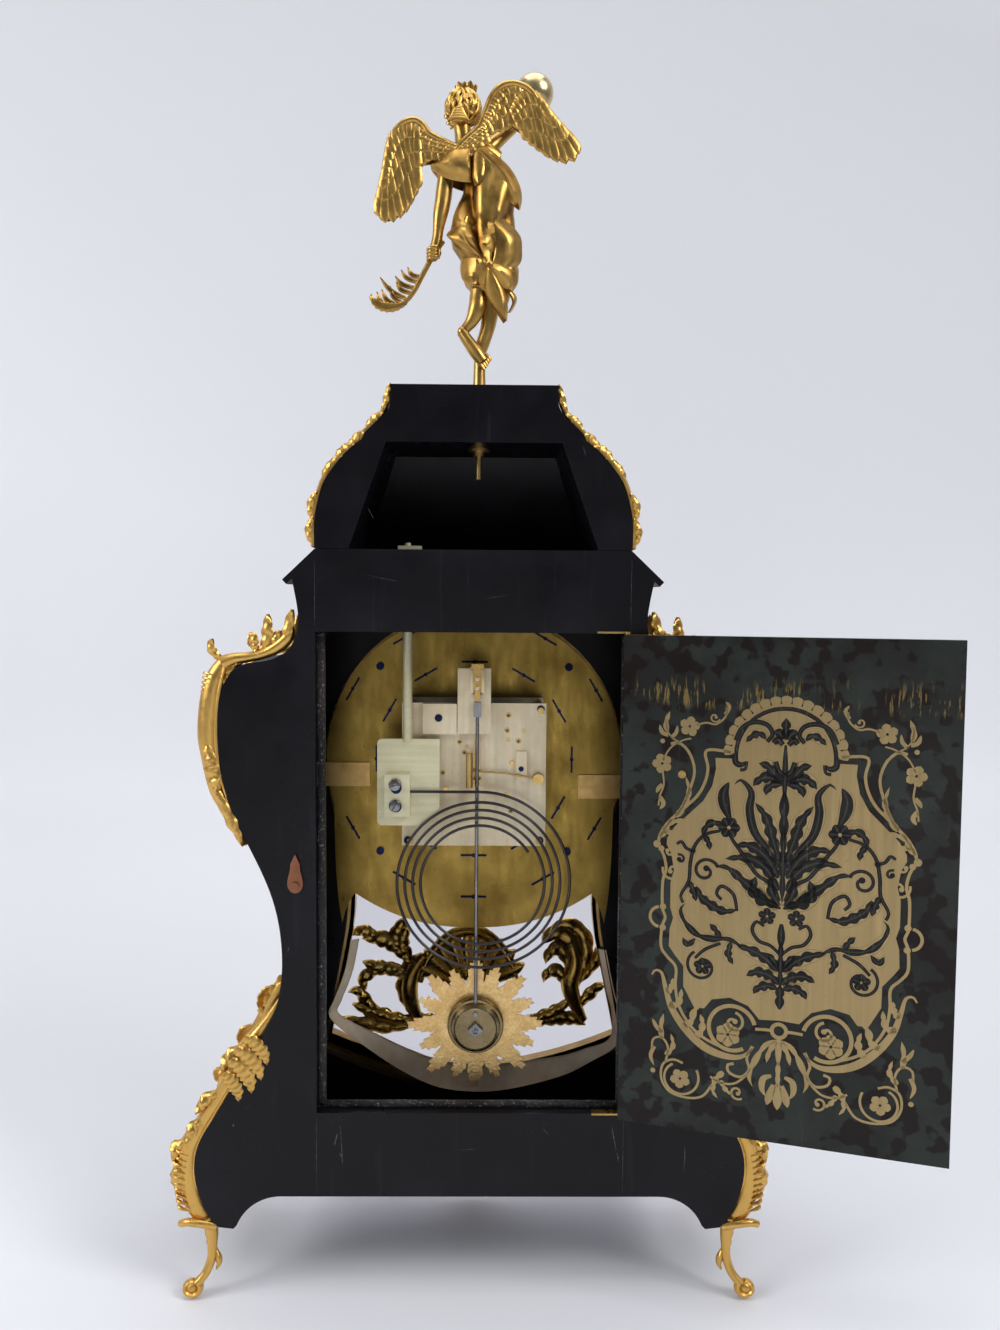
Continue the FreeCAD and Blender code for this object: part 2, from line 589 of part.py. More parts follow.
def gear_edges(teeth, module, phase, tip_share=0.11):
    """A toothed rim: short straight-sided teeth with free play."""
    pitch = teeth * module / 2
    tip = pitch + 0.5 * module
    root = pitch - 0.8 * module
    step = 360.0 / teeth
    corners = []
    for count in range(teeth):
        middle = phase + count * step
        for radius, share in ((root, -0.22), (tip, -tip_share), (tip, tip_share), (root, 0.22)):
            corners.append(turned((0, 0), middle + share * step, radius))
    return path(corners[-1], *corners)


def direction(start, end):
    return math.degrees(math.atan2(end[1] - start[1], end[0] - start[0]))


def driver_phase(start, end):
    """The angle of a tooth that points along the line of centres."""
    return direction(start, end)


def driven_phase(start, end, teeth):
    """The angle of a tooth beside the gap that faces the driver."""
    return direction(end, start) + 180.0 / teeth


def train_positions():
    """Arbor centres in x and z, from the teeth and modules of each pair."""
    def reach(a, b, module):
        return (size(a) + size(b)) * size(module) / 2

    spots = {"centre": (size("dialX"), size("dialZ"))}
    spots["going"] = turned(spots["centre"], -35, reach("greatTeeth", "centrePinion", "greatModule"))
    spots["third"] = turned(spots["centre"], 75, reach("centreTeeth", "thirdPinion", "centreModule"))
    across = size("pendulumX") - spots["third"][0]
    third_reach = reach("thirdTeeth", "escapePinion", "thirdModule")
    spots["escape"] = (size("pendulumX"), spots["third"][1] + math.sqrt(third_reach ** 2 - across ** 2))
    spots["pallet"] = (size("pendulumX"), spots["escape"][1] + size("palletReach"))
    spots["minute"] = turned(spots["centre"], 200, reach("cannonTeeth", "minuteTeeth", "motionModule"))
    spots["strike"] = (-28.5, 417.8)
    spots["pin"] = turned(spots["strike"], 100, reach("greatTeeth", "pinPinion", "greatModule"))
    spots["warn"] = turned(spots["pin"], 80, reach("pinTeeth", "warnPinion", "centreModule"))
    spots["fly"] = turned(spots["warn"], 150, reach("warnTeeth", "flyPinion", "thirdModule"))
    spots["hammer"] = (size("hammerX"), size("hammerZ"))
    return spots


def gear(name, spot, teeth, module, phase, front, thick, holes=(), tip_share=0.11):
    """One toothed wheel on an arbor; front is the y of the face nearest the dial."""
    edges = gear_edges(int(size(teeth)), size(module) if isinstance(module, str) else module, phase, tip_share)
    for reach, radius, count in holes:
        for number in range(count):
            edges.append(circle(*turned((0, 0), 360.0 * number / count, reach), radius))
    return upright(name, edges, thick, front + thick, spot[0], spot[1])


def shaft(name, spot, radius, front, rear):
    return rod(name, radius, rear - front, spot[0], front, spot[1])


def make_trains(spots):
    front = size("frontPlateRear") - size("plateThick") - 0.5
    rear = size("backPlateRear") + 0.5
    thin = size("arborRadius")
    wheel_holes = {"centre": ((11, 4.2, 5),), "third": ((8.6, 3.4, 5),), "pin": ((8.6, 3.4, 5),),
                   "warn": ((7.8, 2.8, 5),), "escape": ((6.6, 2.4, 5),)}

    def arbor(name, spot, radius=thin, first=front, last=rear):
        return shaft(name + "_shaft", spot, radius, first, last)

    for name, spot, mate, teeth in (("going_barrel", "going", "centre", "greatTeeth"),
                                    ("strike_barrel", "strike", "pin", "greatTeeth")):
        at = spots[spot]
        wheel = gear(name + "_wheel", at, teeth, "greatModule", driver_phase(at, spots[mate]), -1, 2)
        drum = shaft(name + "_drum", at, 22, -24, -1)
        square = box(name + "_square", 3.4, 4, 3.4, at[0] - 1.7, -49, at[1] - 1.7)
        keep(fused(name, wheel, drum, arbor(name, at, size("barrelArbor"), -46), square))

    at = spots["centre"]
    pinion = gear("centre_pinion", at, "centrePinion", "greatModule",
                  driven_phase(spots["going"], at, size("centrePinion")), -1.5, 3)
    wheel = gear("centre_wheel", at, "centreTeeth", "centreModule", driver_phase(at, spots["third"]), 8, 2,
                 wheel_holes["centre"])
    cannon = shaft("cannon_pipe", at, size("cannonRadius"), -58, -33)
    cannon_pinion = gear("cannon_pinion", at, "cannonTeeth", "motionModule", driver_phase(at, spots["minute"]),
                         -35.5, 2.5)
    keep(fused("centre_arbor", pinion, wheel, cannon, cannon_pinion, arbor("centre", at, thin, -59)))

    at = spots["third"]
    pinion = gear("third_pinion", at, "thirdPinion", "centreModule",
                  driven_phase(spots["centre"], at, size("thirdPinion")), 7.5, 3)
    wheel = gear("third_rim", at, "thirdTeeth", "thirdModule", driver_phase(at, spots["escape"]), 14, 1.5,
                 wheel_holes["third"])
    keep(fused("third_wheel", pinion, wheel, arbor("third", at)))

    at = spots["escape"]
    pinion = gear("escape_pinion", at, "escapePinion", "thirdModule",
                  driven_phase(spots["third"], at, size("escapePinion")), 13.2, 3)
    wheel = gear("escape_rim", at, "escapeTeeth", "escapeModule", 0, 5, 1.5, wheel_holes["escape"], 0.03)
    keep(fused("escape_wheel", pinion, wheel, arbor("escape", at)))

    at = spots["pin"]
    pinion = gear("pin_pinion", at, "pinPinion", "greatModule",
                  driven_phase(spots["strike"], at, size("pinPinion")), -1.5, 3)
    wheel = gear("pin_rim", at, "pinTeeth", "centreModule", driver_phase(at, spots["warn"]), 3, 1.5,
                 wheel_holes["pin"])
    pins = [shaft("lifting_pin_%d" % count, turned(at, 45 * count, 14), 0.8, 4.5, 7.5) for count in range(8)]
    keep(fused("pin_wheel", pinion, wheel, arbor("pin", at), *pins))

    at = spots["warn"]
    pinion = gear("warn_pinion", at, "warnPinion", "centreModule",
                  driven_phase(spots["pin"], at, size("warnPinion")), 2.2, 3)
    wheel = gear("warn_rim", at, "warnTeeth", "thirdModule", driver_phase(at, spots["fly"]), 12, 1.5,
                 wheel_holes["warn"])
    keep(fused("warning_wheel", pinion, wheel, arbor("warn", at)))

    at = spots["fly"]
    pinion = gear("fly_pinion", at, "flyPinion", "thirdModule",
                  driven_phase(spots["warn"], at, size("flyPinion")), 11.2, 3)
    vane = box("fly_vane", 19, 16, 0.8, at[0] - 9.5, -14, at[1] - 0.4)
    hub = shaft("fly_hub", at, 2.4, -14, 2)
    keep(fused("fly", pinion, vane, hub, arbor("fly", at)))


def hand_edges(reach, wide, angle, bore):
    """A pierced-heart hand pointing at a clock angle, turned clockwise from noon seen from the front."""
    heading = math.radians(angle)

    def spot(along, aside):
        return (along * math.sin(heading) + aside * math.cos(heading),
                along * math.cos(heading) - aside * math.sin(heading))

    right = [spot(6, 2.6), spot(reach * 0.45, 1.8), spot(reach * 0.6, wide), spot(reach * 0.78, 2.0)]
    left = [spot(reach * 0.78, -2.0), spot(reach * 0.6, -wide), spot(reach * 0.45, -1.8), spot(6, -2.6)]
    edges = path(right[0], right[1], ("arc", right[2], right[3]), spot(reach, 0), left[0],
                 ("arc", left[1], left[2]), left[3], ("arc", spot(-6.5, 0), right[0]))
    edges.append(circle(0, 0, bore))
    edges.append(circle(*spot(reach * 0.61, 0), wide * 0.5))
    return edges


def make_motion_work(spots):
    centre = spots["centre"]
    at = spots["minute"]
    hour_module = (size("cannonTeeth") + size("minuteTeeth")) * size("motionModule") / (
        size("minutePinion") + size("hourTeeth"))
    stud_hole = "sizes.arborRadius + sizes.runGap"
    wheel = gear("minute_rim", at, "minuteTeeth", "motionModule",
                 driven_phase(centre, at, size("minuteTeeth")), -35, 1.6)
    pinion = gear("minute_pinion", at, "minutePinion", hour_module, driver_phase(at, centre), -39, 4.2)
    bore = rod("minute_bore", stud_hole, 12, at[0], -42, at[1])
    keep(cut("minute_wheel", fused("minute_both", wheel, pinion), bore))

    wheel = gear("hour_rim", centre, "hourTeeth", hour_module,
                 driven_phase(at, centre, size("hourTeeth")), -38.5, 1.5)
    pipe = shaft("hour_pipe", centre, size("hourPipe"), -53.5, -37)
    bore = rod("hour_bore", "sizes.cannonRadius + sizes.runGap", 24, centre[0], -56, centre[1])
    keep(cut("hour_wheel", fused("hour_both", wheel, pipe), bore))
    for name, reach, wide, angle, bore_radius, face in (("hour_hand", 60, 8, 305, "hourPipe", -51),
                                                        ("minute_hand", 92, 6, 60, "cannonRadius", -55)):
        keep(upright(name, hand_edges(reach, wide, angle, size(bore_radius)), 1.2, face, centre[0], centre[1]))


# ---- movement frame, dial, gong ----

def pillar_spots():
    reach = size("plateSide") / 2 - size("pillarInset")
    return [(size("plateX") + a * reach, size("plateZ") + b * reach) for a in (1, -1) for b in (1, -1)]


def plate_edges(spots, names, wide):
    """A square plate drilled for its pillars and pivots."""
    half = size("plateSide") / 2
    x, z = size("plateX"), size("plateZ")
    corners = [(x - half, z - half), (x + half, z - half), (x + half, z + half), (x - half, z + half)]
    edges = path(corners[-1], *corners)
    gap = size("runGap")
    for name in names:
        radius = size("barrelArbor") if name in wide else size("arborRadius")
        edges.append(circle(*spots[name], radius + gap))
    return edges


def make_plates(spots):
    barrels = ("going", "strike")
    pivots = ("centre", "going", "third", "escape", "pallet", "strike", "pin", "warn", "fly", "hammer")
    keep(upright("back_plate", plate_edges(spots, pivots, barrels), "sizes.plateThick", "sizes.backPlateRear"))
    front = upright("front_plate_blank", plate_edges(spots, pivots, barrels), "sizes.plateThick",
                    "sizes.frontPlateRear")
    stud = shaft("minute_stud", spots["minute"], size("arborRadius"), -39.6, -30)
    keep(fused("front_plate", front, stud))
    inner = "sizes.backPlateRear - sizes.plateThick - sizes.frontPlateRear"
    pillars = [rod("pillar_%d" % count, "sizes.pillarRadius", inner, x, "sizes.frontPlateRear", z)
               for count, (x, z) in enumerate(pillar_spots())]
    keep(group("plate_pillars", *pillars))
    heads = [rod("pillar_screw_%d" % count, 3.2, 1.4, x, "sizes.backPlateRear", z)
             for count, (x, z) in enumerate(pillar_spots())]
    heads += [rod("gong_screw_%d" % z, 4.4, 4, 64.1, 47, z) for z in (427.4, 411.8)]
    heads += [rod("side_block_screw", 3.2, 1.2, 29.7, 31, 485), rod("small_cock_screw", 2.2, 0.8, -41.2, 28, 441)]
    keep(group("movement_screws", *heads))


def make_cocks(spots):
    """The back cock that carries the pallets and pendulum, and two smaller blocks on the back plate."""
    x, z = spots["pallet"]
    plate = box("cock_plate", 28.4, 3, 56, -14.9, 28.5, 471.5)
    feet = [box("cock_foot_right", 5, 3.5, 18, 8.5, 25, 473), box("cock_foot_left", 5, 3.5, 18, -14.9, 25, 473)]
    hole = rod("cock_pivot", "sizes.arborRadius + sizes.runGap", 10, x, 24, z)
    keep(cut("back_cock", fused("cock_both", plate, *feet), hole))
    keep(group("plate_cocks", box("side_block", 29, 6, 26, 14.2, 25, 471), box("small_cock", 9, 3, 26, -46, 25, 430)))


def make_suspension():
    x = size("pendulumX")
    block = box("suspension_block", 10.2, 5, 22.6, x - 5.1, 31.5, 509)
    spring = box("suspension_strip", 4.4, 0.3, 9.7, x - 2.2, 35.35, 499.8)
    keep(fused("suspension_spring", block, spring))


def make_pallets(spots):
    """Anchor pallets on their arbor, and the crutch whose fork embraces the pendulum rod."""
    x, z = spots["pallet"]
    edges = path((-10.57, -8.0), (-12.5, -6.5), ("arc", (0, 4.5), (12.5, -6.5)), (10.57, -8.0),
                 ("arc", (0, -2.5), (-10.57, -8.0)))
    anchor = upright("anchor", edges, 1.5, 6.5, x, z)
    pin = shaft("pallet_arbor", (x, z), size("arborRadius"), -31.5, 31.2)
    strip = upright("crutch_strip", path((-1.8, 1.5), (1.8, 1.5), (2.9, -64), (-2.9, -64), (-1.8, 1.5)), 1.4,
                    "sizes.crutchRear", x, z)
    hub = shaft("crutch_hub", (x, z), 2.6, 26.2, 28.1)
    prongs = [box("crutch_prong_%s" % side, 1.2, 11.1, 5.5, x + start, 26.4, z - 64)
              for side, start in (("right", 1.8), ("left", -3.0))]
    keep(fused("pallet_anchor", anchor, pin, strip, hub, *prongs))


def make_pendulum():
    x, z = size("pendulumX"), size("bobZ")
    y = size("pendulumY")
    hub_rear = 41.0
    socket_depth = 6.0
    top = z + size("bobRadius") - socket_depth
    block = box("pendulum_block", 6.4, 3.4, 12.5, x - 3.2, y - 1.7, 486.5)
    stem = rod("pendulum_stem", "sizes.rodRadius", 488 - top, x, y, top, "z")
    keep(fused("pendulum_rod", block, stem))
    disc = bind(doc.addObject("Part::Cylinder", "bob_disc"), Radius="sizes.bobRadius", Height="sizes.bobThick")
    disc.Placement = Placement(Vector(x, hub_rear - size("bobThick"), z), ALONG["y"])
    doc.recompute()
    chamfer = doc.addObject("Part::Chamfer", "bob_turned")
    chamfer.Base = disc
    rim = [count for count, edge in enumerate(disc.Shape.Edges, start=1)
           if abs(edge.BoundBox.YMin - hub_rear) < 0.01 and abs(edge.BoundBox.YMax - hub_rear) < 0.01]
    chamfer.Edges = [(rim[0], 3.5, 3.5)]
    half = 6.2
    diamond = upright("bob_diamond", path((0, half), (half, 0), (0, -half), (-half, 0), (0, half)), 4,
                      hub_rear + 3, x, z - 1)
    socket = rod("bob_socket", "sizes.rodRadius", 20, x, y, top, "z")
    keep(cut("pendulum_bob", fused("bob_both", chamfer, diamond), socket))
    rays = 20
    corners = []
    for count in range(rays):
        middle = 360.0 * count / rays + 9
        reach = size("sunRadius") * (1.0 if count % 2 else 0.93)
        for radius, share in ((37, -0.46), (reach * 0.82, -0.26), (reach, -0.1), (reach, 0.12),
                              (reach * 0.8, 0.3)):
            corners.append(turned((0, 0), middle + share * 360.0 / rays, radius))
    edges = path(corners[-1], *corners)
    keep(upright("pendulum_sunburst", edges, "sizes.sunThick", hub_rear - size("bobThick"), x, z))


def dial_plate_edges():
    dial = size("dialZ")
    radius = size("dialRadius")
    shoulder = turned((0, dial), -18, radius)
    return both_sides((0, 281), ("curve", (58, 288), (110, 313)), ("curve", (117, 301), (122, 285)),
                      ("curve", (126.5, 320), (128.5, 360), shoulder),
                      ("arc", turned((0, dial), 36, radius), (0, dial + radius)))


def screw_spots():
    return [(a * 86.5, z) for a in (1, -1) for z in (524.6, 353.0)]


def make_dial(spots):
    edges = dial_plate_edges()
    edges.append(circle(*spots["centre"], size("hourPipe") + 0.5))
    for name in ("going", "strike"):
        edges.append(circle(*spots[name], 4.5))
    keep(upright("dial_plate", edges, "sizes.dialThick", "sizes.dialRear"))
    dial = spots["centre"]
    plaques = []
    pins = []
    for hour in range(12):
        angle = 90 - 30 * hour
        spin = Rotation(Vector(0, 1, 0), 90 - angle)
        x, z = turned(dial, angle, size("cartoucheRing"))
        edges = path((-12, -19), ("curve", (-17, -6), (-16, 10), (0, 22)), ("curve", (16, 10), (17, -6), (12, -19)),
                     ("arc", (0, -23), (-12, -19)))
        plaque = upright("plaque_%d" % hour, edges, 5, "sizes.dialRear - sizes.dialThick", x, z)
        plaque.Placement = Placement(Vector(x, 0, z), spin)
        plaques.append(plaque)
        for reach in (90, 129) if hour % 6 != 3 else (90,):
            pins.append(split_pin("pin_%d_%d" % (hour, reach), turned(dial, angle, reach), 90 - angle))
    keep(group("dial_cartouches", *plaques))
    heads = [rod("dial_screw_%d" % count, 3.6, 2.2, x, "sizes.dialRear", z)
             for count, (x, z) in enumerate(screw_spots())]
    keep(group("dial_fixings", *pins, *heads))


def split_pin(name, spot, turn):
    """A pin of a dial plaque, its two legs bent flat behind the plate."""
    legs = Part.makeBox(24, 1, 1.8, Vector(-12, 0, -0.9))
    stub = Part.makeCylinder(1.7, 1.8, Vector(0, 0, 0), Vector(0, 1, 0))
    item = shaped(name, legs.fuse(stub))
    item.Placement = Placement(Vector(spot[0], size("dialRear"), spot[1]), Rotation(Vector(0, 1, 0), turn))
    return item


def make_straps():
    """Bent brass straps from the dial plate to the front of the case, and the four dial feet."""
    rear = size("dialRear")
    front = size("frontRear")
    pieces = []
    for side, sign, z in (("right", 1, 413.5), ("left", -1, 403)):
        start = 96 if sign > 0 else -150
        bend = 148 if sign > 0 else -150
        flange = 148 if sign > 0 else -162
        flat_part = box("strap_flat_" + side, 54, 2, 22, start, rear, z)
        drop = box("strap_drop_" + side, 2, rear + 2 - front, 22, bend, front, z)
        tab = box("strap_tab_" + side, 14, 2, 22, flange, front, z)
        pieces.append(fused("strap_" + side, flat_part, drop, tab))
    for count, (x, z) in enumerate([(a * 48, size("dialZ") + b * 48) for a in (1, -1) for b in (1, -1)]):
        pieces.append(rod("dial_foot_%d" % count, 3, "sizes.frontPlateRear - sizes.plateThick - sizes.dialRear",
                          x, "sizes.dialRear", z))
    keep(group("dial_straps", *pieces))


def make_gong_stand():
    plate_edges_here = path((81.2, 463.8), ("arc", (80, 466.6), (77.2, 467.8)), (28.3, 467.8), (28.3, 409),
                            (43, 393.7), (77.2, 393.7), ("arc", (80, 394.9), (81.2, 397.7)), (81.2, 463.8))
    plate = upright("gong_plate", plate_edges_here, 3, 39)
    stem = rod("gong_stem", "sizes.gongRod", "sizes.caseTop - 466", "sizes.gongRodX", 37.5, 466, "z")
    nut = [box("gong_nut_bar", 19.6, 9, 4.5, 44, 33, "sizes.caseTop"),
           rod("gong_nub", 2.6, 7, "sizes.gongRodX", 37.5, "sizes.caseTop", "z")]
    keep(fused("gong_stand", plate, stem, *nut))
    block = box("gong_block_blank", 21.3, 8, 35.5, 53, 39, 403)
    hole = rod("gong_block_hole", "sizes.gongWire", 10, 51.5, "sizes.gongY", "sizes.gongTop", "x")
    keep(cut("gong_block", block, hole))


def make_gong():
    """One unbroken wire: a straight lead from its block, then a flat coil of quarter turns, drawing in."""
    y = size("gongY")
    wire = size("gongWire")
    start = Vector(58, y, size("gongTop"))
    here = (size("gongTurnX"), size("gongTop"))
    edges = [Part.LineSegment(start, Vector(here[0], y, here[1])).toShape()]
    quarters = 16
    end_share = 57.8 / 90
    heading = 90.0
    samples = []
    for count in range(quarters + 1):
        first = min(count, 3) * size("gongFirstStep")
        radius = size("gongRadius") - first - max(count - 3, 0) * size("gongStep")
        centre = turned(here, heading + 180, radius)
        share = end_share if count == quarters else 1.0
        points = [turned(centre, heading + 90 * share * part, radius) for part in (0, 0.5, 1)]
        edges.append(Part.Arc(*[Vector(px, y, pz) for px, pz in points]).toShape())
        for part in range(12):
            samples.append((count * 12 + part, turned(centre, heading + 90 * share * part / 12, radius)))
        here = points[-1]
        heading += 90
    gaps = [math.dist(a, b) for i, a in samples for j, b in samples if abs(i - j) > 24]
    print("gong coil: least gap between turns %.2f mm" % (min(gaps) - 2 * wire))
    spine = Part.Wire(edges)
    ring = Part.Wire([Part.Circle(start, Vector(1, 0, 0), wire).toShape()])
    solid = spine.makePipeShell([ring], True, False)
    print("gong coil: volume %.1f, section times length %.1f" % (solid.Volume, math.pi * wire ** 2 * spine.Length))
    keep(shaped("gong_coil", solid))


def make_hammer():
    """The hammer on its arbor: a collet, a bent wire arm and an upright head just clear of the gong."""
    x, z = size("hammerX"), size("hammerZ")
    y = size("hammerY")
    pin = shaft("hammer_arbor", (x, z), size("arborRadius"), -31.5, 33)
    collet = shaft("hammer_collet", (x, z), 4.6, 27, 33)
    tail = box("hammer_tail", 9, 1.2, 2.4, x, 5, z - 1.2)
    bends = [Vector(x, y, z), Vector(-28, y, 437.6), Vector(4.6, y, 439.6), Vector(4.6, 43, 439.6)]
    wire = [Part.makeCylinder(0.9, (b - a).Length, a, b - a) for a, b in zip(bends, bends[1:])]
    wire += [Part.makeSphere(0.9, spot) for spot in bends[1:-1]]
    arm = shaped("hammer_arm", wire[0].multiFuse(wire[1:]))
    head = rod("hammer_head", 2.9, 29.6, 3, 43, 427, "z")
    keep(fused("hammer", pin, collet, tail, arm, head))


def make_case():
    make_back_stile("back_stile_right", 1)
    make_back_stile("back_stile_left", -1)
    make_rails()
    make_side_wall("side_wall_right", 1)
    make_side_wall("side_wall_left", -1)
    make_front_board()
    make_boards()
    make_cornice()
    make_corner_mounts("shoulder_mounts", shoulder_mount_edges, {"rear": 76, "front": -44})
    make_corner_mounts("foot_mounts", foot_mount_edges, {"rear": 80, "front": -46})
    make_apron_mount()
    make_case_brasses()
    make_turn_button()


def make_movement(spots):
    make_plates(spots)
    make_cocks(spots)
    make_suspension()
    make_trains(spots)
    make_motion_work(spots)
    make_pallets(spots)
    make_pendulum()
    make_dial(spots)
    make_straps()
    make_gong_stand()
    make_gong()
    make_hammer()


def make_top():
    make_dome()
    make_dome_mounts()
    make_figure()
    make_wings()
    make_palm()
    make_figure_stud()


def check_and_write():
    """Every object must have computed, and every piece must be a valid solid, before any is written."""
    doc.recompute()
    for thing in doc.Objects:
        if "Invalid" in thing.State or "Error" in thing.State:
            raise RuntimeError("%s did not compute" % thing.Name)
    for name, thing in NODES.items():
        if thing.Shape.isNull() or not thing.Shape.isValid():
            raise RuntimeError("%s has no valid shape" % name)
    for name, thing in NODES.items():
        thing.Shape.exportStep("parts/%s.step" % name)
    print("%d pieces" % len(NODES))


SPOTS = train_positions()
make_case()
make_rear_door()
make_front_door()
make_front_ornament()
make_top()
make_movement(SPOTS)
check_and_write()
for arbor_name, (arbor_x, arbor_z) in SPOTS.items():
    print("arbor %s at x %.3f, z %.3f" % (arbor_name, arbor_x, arbor_z))
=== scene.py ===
import math
import random

import bmesh
import bpy
from mathutils import Matrix, Vector, noise


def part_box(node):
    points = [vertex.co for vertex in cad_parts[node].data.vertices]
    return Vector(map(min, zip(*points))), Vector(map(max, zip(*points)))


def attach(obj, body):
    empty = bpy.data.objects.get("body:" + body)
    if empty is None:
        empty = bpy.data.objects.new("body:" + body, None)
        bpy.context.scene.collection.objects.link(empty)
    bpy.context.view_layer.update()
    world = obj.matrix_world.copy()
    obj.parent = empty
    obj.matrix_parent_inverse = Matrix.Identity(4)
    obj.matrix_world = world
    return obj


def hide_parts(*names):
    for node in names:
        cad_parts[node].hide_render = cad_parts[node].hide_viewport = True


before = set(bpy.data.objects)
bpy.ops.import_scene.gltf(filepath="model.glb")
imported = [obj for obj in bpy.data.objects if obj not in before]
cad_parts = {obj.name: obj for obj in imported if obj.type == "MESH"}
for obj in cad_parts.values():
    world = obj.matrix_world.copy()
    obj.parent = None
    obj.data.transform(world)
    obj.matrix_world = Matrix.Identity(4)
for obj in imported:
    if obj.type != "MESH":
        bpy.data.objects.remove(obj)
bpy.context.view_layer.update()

bl_info = {"name": "Bracket Clock Dresser", "version": (1, 0, 0), "blender": (4, 5, 0),
           "location": "View3D > Sidebar > Clock",
           "description": "Dresses a waisted bracket clock in ebony, gilt bronze, brass and shell marquetry",
           "category": "Object", }

MM = 0.001
CASE_REAR = 75.0
DOOR_INSIDE = 65.0
HINGE = Vector((-125.3, 76.0, 0.0))
DOOR_OPEN = math.radians(162.8)
LENS = 28.62
LENS_FRAME_HIGH = 36
CAMERA_PLACE = Vector((-12.3, 929.5, 586.4))
CAMERA_PITCH, CAMERA_YAW, CAMERA_ROLL = (math.radians(value) for value in (-3.555, 0.643, 0.42))
# name, place, point it faces, side of its square, watts
LAMPS = (("key_lamp", (-2.0, 1.3, 2.2), (0, 0, 0.6), 1.2, 44),
         ("fill_lamp", (2.2, 1.1, 1.6), (0, 0, 0.5), 1.2, 34),
         ("top_lamp", (0.0, 0.1, 2.9), (0, 0, 0.4), 2.0, 36),
         ("low_lamp", (0.0, 1.7, 0.15), (0, 0, 0.45), 0.6, 1.2), )
# the sweep's side view: y and height
SWEEP = [(4.6, 0), (1.2, 0), (0.1, 0), (-0.22, 0), (-0.36, 0.03), (-0.5, 0.11), (-0.62, 0.26), (-0.68, 0.5),
         (-0.7, 1.2), (-0.7, 3.2)]
SWEEP_HALF = 4.0


def ends_of(node):
    """The lowest and highest corners of a node of the frame, in millimetres."""
    low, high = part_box(node)
    return [value / MM for value in low], [value / MM for value in high]


# ---- colours and sizes a user may change ----

def tone(red, green, blue):
    """A screen colour, 0 to 255, as the linear colour that shaders take."""
    def linear(value):
        share = value / 255
        return share / 12.92 if share <= 0.04045 else ((share + 0.055) / 1.055) ** 2.4
    return (linear(red), linear(green), linear(blue))


def colour_of(label, about, red, green, blue):
    """A colour the user may change, given as a screen colour."""
    return bpy.props.FloatVectorProperty(name=label, description=about, subtype="COLOR", size=3, min=0, max=1,
                                         default=tone(red, green, blue))


def length_of(label, about, millimetres):
    """A length the user may change, given in millimetres."""
    return bpy.props.FloatProperty(name=label, description=about, subtype="DISTANCE", unit="LENGTH",
                                   default=millimetres * MM, precision=4)


class ClockColours(bpy.types.PropertyGroup):
    """Colours of the clock's finishes and of the room."""
    ebony: colour_of("Ebony", "Black polish of the case", 12, 11, 15)
    ebony_rubbed: colour_of("Rubbed ebony", "Where the black polish has greyed", 40, 39, 47)
    bare_wood: colour_of("Inner wood", "Stained wood inside the case", 38, 27, 22)
    shell_green: colour_of("Dark shell", "Green-black of the rear door's shell", 46, 52, 47)
    shell_red: colour_of("Red shell", "Dark red spots in the shell", 24, 12, 11)
    inlay: colour_of("Inlay brass", "Brass sheet let into the shell", 176, 154, 110)
    gilding: colour_of("Gilding", "High places of the gilt bronze", 220, 176, 96)
    # hollow colour of the gilt: partly patina, partly painted shade where the castings are low
    gilding_patina_and_shade: colour_of("Deep gilding", "Hollows of the gilt bronze", 112, 74, 26)
    plate_brass: colour_of("Plate brass", "Brushed movement plates", 236, 222, 190)
    gong_brass: colour_of("Gong brass", "Greenish brass of the gong plate", 220, 214, 178)
    dial_brass: colour_of("Dial brass", "Dark toned back of the dial plate", 170, 142, 72)
    steel: colour_of("Steel", "Ground steel", 150, 150, 152)
    dark_steel: colour_of("Gong wire", "Oiled steel wire", 84, 80, 80)
    blued: colour_of("Blued steel", "Heat-blued screws and hands", 30, 36, 64)
    enamel: colour_of("Enamel", "White of the hour plaques", 238, 236, 228)
    room: colour_of("Room", "Pale backdrop and floor", 226, 227, 232)


class ClockSizes(bpy.types.PropertyGroup):
    """Sizes of the dressing."""
    inlay_rise: length_of("Inlay rise", "How far the brass sheet stands above the shell", 0.12)
    edge_round: length_of("Rounded edges", "Rounding of sawn and filed edges", 0.5)


def colours():
    """The scene's finish colours."""
    return bpy.context.scene.clock_colours


def sizes():
    """The scene's dressing sizes."""
    return bpy.context.scene.clock_sizes


# ---- modelling helpers: everything is drawn in millimetres in the frame's own axes ----

def smooth_line(points, steps=8):
    """Points along a smooth line through the given ones."""
    spots = [Vector(point) for point in points]
    if len(spots) < 3:
        return [spots[0].lerp(spots[-1], step / steps) for step in range(steps + 1)]
    line = []
    for index in range(len(spots) - 1):
        before = spots[max(index - 1, 0)]
        start, end = spots[index], spots[index + 1]
        after = spots[min(index + 2, len(spots) - 1)]
        for step in range(steps):
            t = step / steps
            bend = 2 * before - 5 * start + 4 * end - after
            twist = 3 * start - before - 3 * end + after
            line.append(0.5 * ((2 * start) + (end - before) * t + bend * t * t + twist * t ** 3))
    line.append(spots[-1])
    return line


def along(line, share):
    """The place a share of the way along a list of points."""
    where = max(0.0, min(1.0, share)) * (len(line) - 1)
    index = min(int(where), len(line) - 2)
    return line[index].lerp(line[index + 1], where - index)


